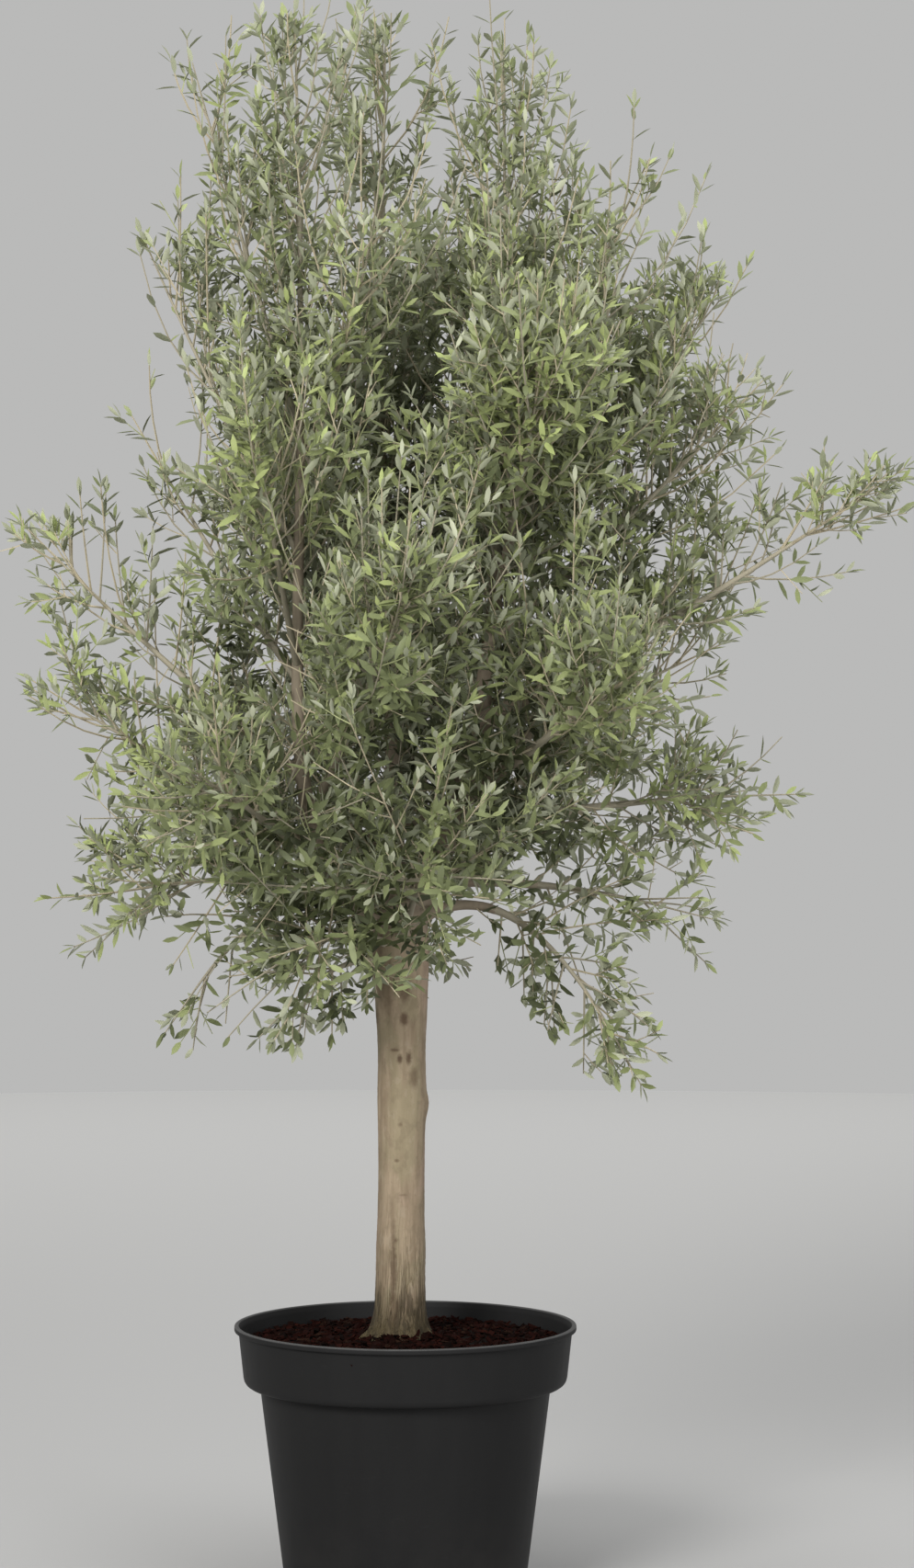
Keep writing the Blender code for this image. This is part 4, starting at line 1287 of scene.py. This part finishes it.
def remeshed(piece):
    """One smoothed skin over all the tubes."""
    remesh = piece.modifiers.new("skin", "REMESH")
    remesh.mode = "VOXEL"
    remesh.voxel_size = BARK_VOXEL
    remesh.use_smooth_shade = True
    smooth = piece.modifiers.new("smooth", "SMOOTH")
    smooth.factor = 0.5
    smooth.iterations = 3
    return applied(piece)


def thin_out(piece, triangles):
    """Takes a piece down to a count of triangles."""
    count = sum(len(face.vertices) - 2 for face in piece.data.polygons)
    if count > triangles:
        piece.modifiers.new("thin", "DECIMATE").ratio = triangles / count
        applied(piece)
    piece.data.shade_smooth()


def relief(points):
    """How far the bark stands out at each point: swells, ribs up the grain, fissures low down, marks."""
    height = points[:, 2]
    trunk_share = np.clip((TRUNK_TOP - 0.02 - height) / 0.05, 0, 1)
    low = np.clip((0.62 - height) / 0.24, 0, 1)
    swells = 0.0016 * grain(points, (0.045, 0.045, 0.13))
    swells = swells + 0.0007 * grain(points + 3, (0.018, 0.018, 0.05))
    ribs = 0.00045 * grain(points + 7, (0.0075, 0.0075, 0.060))
    seams = np.abs(grain(points + 11, (0.0060, 0.0060, 0.110)))
    fissures = -0.0010 * low**1.3 * np.clip(1 - seams / 0.22, 0, 1)
    wrinkles = 0.00022 * grain(points + 17, (0.012, 0.012, 0.0042))
    out = (swells + ribs + fissures) * trunk_share + wrinkles
    out += (1 - trunk_share) * (0.0005 * grain(points + 23, (0.016, 0.016, 0.030)))
    for bearing, at, wide, tall, proud, _ in MARKS:
        apart = (points - mark_place(bearing, at)) / np.array((wide, wide, tall))
        out += proud * np.exp(-0.7 * (apart**2).sum(axis=1))
    return out


def make_bark():
    """The trunk, leaders and boughs as one skin with the bark's relief."""
    piece = rough_limbs().piece("bark_limbs", [])
    mesh = remeshed(piece)
    count = len(mesh.vertices)
    points, normals = np.empty(3 * count, np.float32), np.empty(3 * count, np.float32)
    mesh.vertices.foreach_get("co", points)
    mesh.vertices.foreach_get("normal", normals)
    points, normals = points.reshape(-1, 3).astype(float), normals.reshape(-1, 3)
    points += normals * relief(points)[:, None]
    mesh.vertices.foreach_set("co", points.astype(np.float32).ravel())
    mesh.update()
    thin_out(piece, BARK_TRIANGLES)
    piece.data.materials.append(bark_material())
    nodes = ["trunk", *LEADERS] + ["bough_" + limb.name for limb in LIMBS if has_bough(limb)]
    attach(piece, "root")
    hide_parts(*nodes)


def bark_material():
    """Smooth tan bark: streaked up the grain, mottled grey, fissured at the foot and darkened there with
    painted shade, grey on the limbs, with dark marks where twigs were, and painted shade in two of the
    marks."""
    bark = Finish("olive_bark", (0.34, 0.27, 0.18), 0.78, specular=0.25)
    up_grain = (1, 1, 0.10)
    height = bark.along("Z")
    streaks = bark.noise(90, 5, up_grain)
    mottle = bark.noise(16, 4, (1, 1, 0.45), warp=0.6)
    low = height.over(0.62, 0.39)
    limb = height.over(0.93, 1.02)
    tone = bark.mix(streaks.over(0.30, 0.72), (0.205, 0.156, 0.103), (0.318, 0.252, 0.174))
    tone = bark.mix(mottle.over(0.50, 0.62) * 0.65, tone, (0.232, 0.198, 0.124))
    tone = bark.mix(mottle.over(0.46, 0.36) * 0.60, tone, (0.325, 0.236, 0.178))
    blotches = bark.noise(75, 3, (1, 1, 0.7))
    tone = bark.mix(blotches.over(0.52, 0.66) * 0.28, tone, (0.135, 0.103, 0.068))
    tone = bark.mix(blotches.over(0.44, 0.32) * 0.30, tone, (0.330, 0.275, 0.205))
    cracks = bark.noise(150, 2, (1, 1, 0.07))
    crack = (cracks - 0.5).size().over(0.045, 0.0) * (low * 0.75 + 0.06)
    tone = bark.mix(crack, tone, (0.110, 0.082, 0.045))
    # painted shade: the trunk's foot darkens towards the compost, as in the pot's shadow
    tone = bark.mix(height.over(0.475, 0.395) * 0.92, tone, (0.050, 0.038, 0.016))
    fibres = bark.noise(170, 3, (1, 1, 0.05)).over(0.47, 0.57)
    tone = bark.mix(fibres * height.over(0.520, 0.420) * 0.70, tone, (0.026, 0.019, 0.009))
    tone = bark.mix(limb * 0.75, tone, (0.235, 0.200, 0.150))
    out = bark.node("VectorMath", {"operation": "LENGTH"}, {0: bark.place((1, 1, 0))}, "Value")
    tone = bark.mix(limb * out.over(0.14, 0.30) * 0.8, tone, (0.380, 0.345, 0.255))
    flecks = bark.noise(230, 2, (1, 1, 0.6)).over(0.66, 0.74)
    tone = bark.mix(flecks * 0.35, tone, (0.150, 0.110, 0.075))
    for bearing, at, wide, tall, _, dark in MARKS:
        tone = bark.mix(mark_share(bark, bearing, at, wide, tall) * dark, tone, (0.090, 0.058, 0.036))
    bark.give("Base Color", tone)
    bark.give("Roughness", 0.70 + 0.22 * mottle)
    fine = bark.noise(420, 3, (1, 1, 0.5))
    bark.bump(streaks * 0.5 + fine * 0.25 - crack * 0.8, 0.0010)
    return bark.material


def mark_share(bark, bearing, at, wide, tall):
    """1 at a mark on the trunk, fading out to 0 round its ragged edge."""
    shares = (1 / wide, 1 / wide, 1 / tall)
    here = bark.place(shares)
    there = tuple(mark_place(bearing, at) * np.array(shares))
    apart = bark.node("VectorMath", {"operation": "DISTANCE"}, {0: here, 1: there}, "Value")
    return (apart + bark.noise(200, 3) * 1.2).over(2.3, 1.0)


# ---------------------------------------------------------------- the pot

POT_STEPS = 144
CORNER_STEPS = 4


def rounded(profile, radii):
    """A profile whose corners are arcs, each of the radius given for it, or sharp at 0."""
    made = [profile[0]]
    for before, here, after, radius in zip(profile, profile[1:], profile[2:], radii[1:-1]):
        here = Vector(here)
        back, on = Vector(before) - here, Vector(after) - here
        cut = min(radius, 0.45 * back.length, 0.45 * on.length)
        if not cut:
            made.append(tuple(here))
            continue
        start, end = here + back.normalized() * cut, here + on.normalized() * cut
        for i in range(CORNER_STEPS + 1):
            t = i / CORNER_STEPS
            made.append(tuple(start * (1 - t) ** 2 + here * (2 * t * (1 - t)) + end * t**2))
    return [*made, profile[-1]]


def pot_profile():
    """Down the pot's outside to its underside's middle, then up the inside to the lip."""
    lip_foot = POT_HEIGHT - LIP_HEIGHT
    corners = [  # radius, height, the corner's rounding
        (RIM_RADIUS - LIP_WIDTH, POT_HEIGHT, 0.0015),
        (RIM_RADIUS, POT_HEIGHT, 0.0025),
        (RIM_RADIUS, lip_foot, 0.0020),
        (COLLAR_TOP_RADIUS, lip_foot, 0.0012),
        (COLLAR_FOOT_RADIUS - 0.0005, SHOULDER_HEIGHT + 0.004, 0.0140),
        (SHOULDER_RADIUS, SHOULDER_HEIGHT + 0.001, 0.0008),
        (BASE_RADIUS, BASE_EDGE, 0.0050),
        (BASE_RADIUS - BASE_EDGE, 0, 0.0030),
        (0, 0, 0),
        (0, FLOOR, 0),
        (BASE_RADIUS - WALL, FLOOR, 0.003),
        (SHOULDER_RADIUS - WALL, SHOULDER_HEIGHT, 0.003),
        (COLLAR_FOOT_RADIUS - WALL, COLLAR_FOOT_HEIGHT, 0.003),
        (COLLAR_TOP_RADIUS - WALL, lip_foot, 0.002),
    ]
    corners.append(corners[0])
    return rounded([(radius, height) for radius, height, _ in corners], [r for _, _, r in corners])


def turned(name, profile, steps):
    """A profile of (radius, height) pairs, turned about +Z."""
    mesh = bpy.data.meshes.new(name)
    points = [(radius, 0, height) for radius, height in profile]
    mesh.from_pydata(points, [(i, i + 1) for i in range(len(points) - 1)], [])
    piece = add_piece(name, mesh)
    screw = piece.modifiers.new("turned", "SCREW")
    screw.steps = screw.render_steps = steps
    screw.use_merge_vertices = True
    screw.merge_threshold = 0.0001
    return settle(piece)


def settle(piece):
    """Applies a piece's modifiers and shades it smooth but for its edges."""
    mesh = applied(piece)
    work = bmesh.new()
    work.from_mesh(mesh)
    bmesh.ops.remove_doubles(work, verts=work.verts, dist=0.00002)
    bmesh.ops.recalc_face_normals(work, faces=work.faces)
    work.to_mesh(mesh)
    work.free()
    mesh.shade_smooth()
    mesh.set_sharp_from_angle(angle=math.radians(40))
    return piece


def make_pot():
    pot = turned("nursery_pot", pot_profile(), POT_STEPS)
    drills = bpy.data.collections.new("drills")
    bpy.context.scene.collection.children.link(drills)
    for i in range(DRAIN_HOLES):
        bearing = 2 * math.pi * (i + 0.5) / DRAIN_HOLES
        mesh = bpy.data.meshes.new("drill")
        work = bmesh.new()
        bmesh.ops.create_cone(work, cap_ends=True, segments=28, radius1=DRAIN_RADIUS,
                              radius2=DRAIN_RADIUS, depth=4 * FLOOR)
        work.to_mesh(mesh)
        work.free()
        drill = bpy.data.objects.new("drill", mesh)
        drill.location = (DRAIN_CIRCLE * math.cos(bearing), DRAIN_CIRCLE * math.sin(bearing), 0)
        drills.objects.link(drill)
    bpy.context.view_layer.update()
    cut = pot.modifiers.new("drain holes", "BOOLEAN")
    cut.operation = "DIFFERENCE"
    cut.operand_type = "COLLECTION"
    cut.collection = drills
    settle(pot)
    for drill in list(drills.objects):
        bpy.data.objects.remove(drill)
    bpy.data.collections.remove(drills)
    pot.data.materials.clear()
    pot.data.materials.append(plastic_material())
    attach(pot, "root")
    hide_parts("pot")


def plastic_material():
    """Matt black moulded plastic: faint flow streaks down its wall, paler at the lip, dusty low."""
    plastic = Finish("black_plastic", (0.022, 0.022, 0.022), 0.50, specular=0.10)
    height = plastic.along("Z")
    flow = plastic.noise(26, 4, (1, 1, 0.12))
    scuffs = plastic.noise(60, 5, (1, 1, 2.5), warp=1.2).over(0.60, 0.78)
    dust = plastic.noise(9, 5).over(0.40, 0.75)
    tone = plastic.mix(flow, (0.0115, 0.0115, 0.0117), (0.0150, 0.0150, 0.0152))
    tone = plastic.mix(dust * height.over(0.20, 0.0) * 0.35, tone, (0.040, 0.037, 0.034))
    tone = plastic.mix(scuffs * 0.12, tone, (0.040, 0.040, 0.041))
    lip = height.over(POT_HEIGHT - 0.0022, POT_HEIGHT - 0.0006)
    tone = plastic.mix(lip * (0.35 + 0.6 * flow), tone, (0.110, 0.110, 0.110))
    plastic.give("Base Color", tone)
    plastic.give("Roughness", 0.46 + 0.16 * flow + 0.10 * scuffs)
    plastic.bump(plastic.noise(900, 2) * 0.4 + flow * 0.6, 0.00035)
    return plastic.material


# ---------------------------------------------------------------- the compost

CHIP_COUNT = 3000
HEAPED_CHIPS = 420  # of them lie against the trunk's foot
CHIP_TINTS = (
    ("chip_red_brown", (0.0125, 0.0036, 0.0026)),
    ("chip_brown", (0.0085, 0.0030, 0.0022)),
    ("chip_dark", (0.0045, 0.0022, 0.0017)),
    ("chip_rust", (0.0190, 0.0052, 0.0036)),
    ("chip_tan", (0.0200, 0.0100, 0.0066)),
)
BED_EDGE_RADIUS = 0.2385


def bed_height(x, y):
    """The compost's surface: nearly level, heaped a little round the trunk and lower at the wall."""
    out = np.hypot(x, y)
    level = np.interp(out, (0, 0.075, 0.112, 0.180, 0.2385), (0.380, 0.380, 0.383, 0.379, 0.374))
    spots = np.stack([x, y, 0 * x], axis=-1)
    return level - 0.0030 + 0.0022 * grain(spots, 0.030) + 0.0012 * grain(spots + 5, 0.012)


def make_bed():
    """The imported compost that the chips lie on: a turned body with a bumpy top."""
    gap = SEAT_GAP + WALL
    soup = Soup()
    steps, rings = 96, 34
    radii = BED_EDGE_RADIUS * np.linspace(0, 1, rings + 1)[1:]
    angles = np.arange(steps) * 2 * math.pi / steps
    x, y = radii[:, None] * np.cos(angles), radii[:, None] * np.sin(angles)
    top = np.stack([x, y, bed_height(x.ravel(), y.ravel()).reshape(x.shape)], axis=-1)
    lower = (
        (COLLAR_FOOT_RADIUS - gap, COLLAR_FOOT_HEIGHT + SEAT_GAP),
        (SHOULDER_RADIUS - gap, SHOULDER_HEIGHT + SEAT_GAP),
        (BASE_RADIUS - gap, FLOOR + SEAT_GAP),
    )
    walls = [
        np.stack([radius * np.cos(angles), radius * np.sin(angles), 0 * angles + height], axis=-1)
        for radius, height in lower
    ]
    sheets = np.concatenate([top, np.array(walls)])
    here = np.arange(len(sheets) - 1)[:, None] * steps + np.arange(steps)
    after = np.roll(here, -1, axis=1)
    quads = np.stack([here, here + steps, after + steps, after], axis=-1).reshape(-1, 4)
    soup.add(sheets, quads)
    centre = np.array([[0, 0, float(bed_height(np.zeros(1), np.zeros(1))[0])]])
    first = np.arange(steps)
    soup.add(centre, np.zeros((0, 3)))
    soup.faces.append(np.stack([first, np.roll(first, -1), np.full(steps, soup.count - 1)], axis=-1))
    soup.finishes.append(np.zeros(steps, int))
    last = (len(sheets) - 1) * steps
    soup.faces.append((last + np.arange(steps)[::-1])[None])
    soup.finishes.append(np.zeros(1, int))
    bed = Finish("compost", (0.016, 0.007, 0.005), 0.95, specular=0.1)
    crumbs = bed.cells(260)
    bed.give("Base Color", bed.mix(bed.noise(120, 5), (0.003, 0.002, 0.001), (0.009, 0.004, 0.003)))
    bed.give("Roughness", 0.85 + 0.12 * crumbs)
    bed.bump(1 - crumbs, 0.0020)
    piece = soup.piece("compost_bed", [bed.material])
    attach(piece, "root")
    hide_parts("compost")


def make_chips():
    """Bark chips strewn over the compost, flat splinters of all sizes lying this way and that."""
    dice = np.random.default_rng(50)
    out = BED_EDGE_RADIUS * np.sqrt(dice.uniform(0.030, 0.955, CHIP_COUNT))
    out[:HEAPED_CHIPS] = dice.uniform(0.040, 0.078, HEAPED_CHIPS)
    bearing = dice.uniform(0, 2 * math.pi, CHIP_COUNT)
    x, y = out * np.cos(bearing), out * np.sin(bearing)
    x[:HEAPED_CHIPS] += TRUNK_FOOT_X
    size = np.exp(dice.normal(0, 0.38, CHIP_COUNT))
    half = np.stack([0.0048 * size, 0.0026 * size * dice.uniform(0.6, 1.3, CHIP_COUNT),
                     0.0011 * size * dice.uniform(0.6, 1.5, CHIP_COUNT)], axis=-1)
    half = np.minimum(half, (0.0115, 0.0060, 0.0028))
    lift = bed_height(x, y) + 0.0012 + dice.uniform(0, 0.0032, CHIP_COUNT)
    lift[:HEAPED_CHIPS] += np.clip((0.078 - out[:HEAPED_CHIPS]) / 0.038, 0, 1) * 0.009
    tilt = np.stack([dice.normal(0, 0.42, CHIP_COUNT), dice.normal(0, 0.42, CHIP_COUNT),
                     np.ones(CHIP_COUNT)], axis=-1)
    up = unit(tilt)
    turn = dice.uniform(0, 2 * math.pi, CHIP_COUNT)
    level = np.stack([np.cos(turn), np.sin(turn), 0 * turn], axis=-1)
    long = unit(level - up * (level * up).sum(axis=1, keepdims=True))
    wide = np.cross(up, long)
    corners = np.array([(a, b, c) for c in (-1, 1) for b in (-1, 1) for a in (-1, 1)], float)
    ragged = corners[None] * dice.uniform(0.55, 1.12, (CHIP_COUNT, 8, 3))
    points = np.stack([x, y, lift], axis=-1)[:, None] + sum(
        axis[:, None] * (half[:, None, k] * ragged[..., k])[..., None]
        for k, axis in enumerate((long, wide, up))
    )
    box = np.array([(0, 2, 3, 1), (4, 5, 7, 6), (0, 1, 5, 4), (2, 6, 7, 3), (0, 4, 6, 2), (1, 3, 7, 5)])
    faces = box[None] + 8 * np.arange(CHIP_COUNT)[:, None, None]
    tints = dice.choice(len(CHIP_TINTS), CHIP_COUNT, p=(0.34, 0.28, 0.20, 0.12, 0.06))
    soup = Soup()
    soup.add(points, faces.reshape(-1, 4), np.repeat(tints, 6))
    finishes = []
    for name, colour in CHIP_TINTS:
        chip = Finish(name, colour, 0.90, specular=0.04)
        chip.bump(chip.noise(500, 4, (1, 1, 1)), 0.0008)
        finishes.append(chip.material)
    piece = soup.piece("bark_chips", finishes, math.radians(25))
    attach(piece, "root")


# ---------------------------------------------------------------- the studio

def make_floor():
    mesh = bpy.data.meshes.new("studio_floor")
    work = bmesh.new()
    bmesh.ops.create_circle(work, cap_ends=True, segments=128, radius=FLOOR_RADIUS)
    work.to_mesh(mesh)
    work.free()
    floor = add_piece("studio_floor", mesh)
    paint = Finish("pale_floor", (0.46, 0.46, 0.46), 0.85, specular=0.1)
    # painted light: the floor is painted paler towards the far back, where the lamps light it less, so
    # it meets the sky evenly
    far_painted_light = paint.along("Y").over(1.0, 8.5)
    paint.give("Base Color", paint.mix(far_painted_light, (0.44, 0.44, 0.438), (0.88, 0.88, 0.872)))
    mesh.materials.append(paint.material)


def add_light(name, place, target, size, power, warmth=(1, 1, 1)):
    lamp = bpy.data.lights.new(name, "AREA")
    lamp.shape = "DISK"
    lamp.size = size
    lamp.energy = power
    lamp.color = warmth
    made = bpy.data.objects.new(name, lamp)
    bpy.context.scene.collection.objects.link(made)
    made.location = place
    made.rotation_euler = (Vector(target) - Vector(place)).to_track_quat("-Z", "Y").to_euler()


def light_studio():
    world = bpy.data.worlds.new("studio")
    bpy.context.scene.world = world
    world.use_nodes = True
    sky = world.node_tree.nodes["Background"]
    sky.inputs["Color"].default_value = (1.0, 1.0, 0.99, 1)
    sky.inputs["Strength"].default_value = 0.49
    middle = (0, 0, 1.3)
    add_light("key", (-2.8, -6.0, 4.0), middle, 2.8, 480, (1.0, 0.985, 0.96))
    add_light("fill", (4.4, -6.0, 2.2), middle, 4.0, 205)
    add_light("top", (0.2, 0.6, 6.0), middle, 3.4, 135)
    bpy.context.scene.view_settings.view_transform = "Standard"


def place_camera():
    lens = bpy.data.cameras.new("camera")
    lens.lens = CAMERA_LENS
    lens.sensor_width = 36
    camera = bpy.data.objects.new("camera", lens)
    bpy.context.scene.collection.objects.link(camera)
    camera.location = CAMERA_PLACE
    camera.rotation_euler = (math.pi / 2, 0, 0)
    bpy.context.scene.camera = camera


def add_wood(crown):
    """The wood that leaves stay clear of."""
    for name, leader in LEADERS.items():
        heights = np.linspace(FORK_HEIGHT, leader.top, 12)
        crown.wood.add(name, leader_axis(name, heights), leader_radius(name, heights))
    for limb in LIMBS:
        if has_bough(limb):
            shares = np.linspace(0, limb.bare, 4)
            crown.wood.add("bough_" + limb.name, limb_point(limb, shares), bough_radius(limb, shares))
    heights = SOIL_HEIGHT + np.array([rise for rise, _ in TRUNK_RINGS])
    crown.wood.add("trunk", trunk_axis(heights), trunk_radius(heights))
    for mass in crown.masses:
        along = (mass.shares - mass.start) / (1 - mass.start)
        radii = mass.foot_radius + (STEM_TIP_RADIUS - mass.foot_radius) * along**0.7
        crown.wood.add(mass.name, mass.rings, radii)


def main():
    place_camera()
    light_studio()
    make_floor()
    make_pot()
    make_bed()
    make_chips()
    make_bark()
    crown = Crown()
    add_wood(crown)
    make_crown(crown)


main()
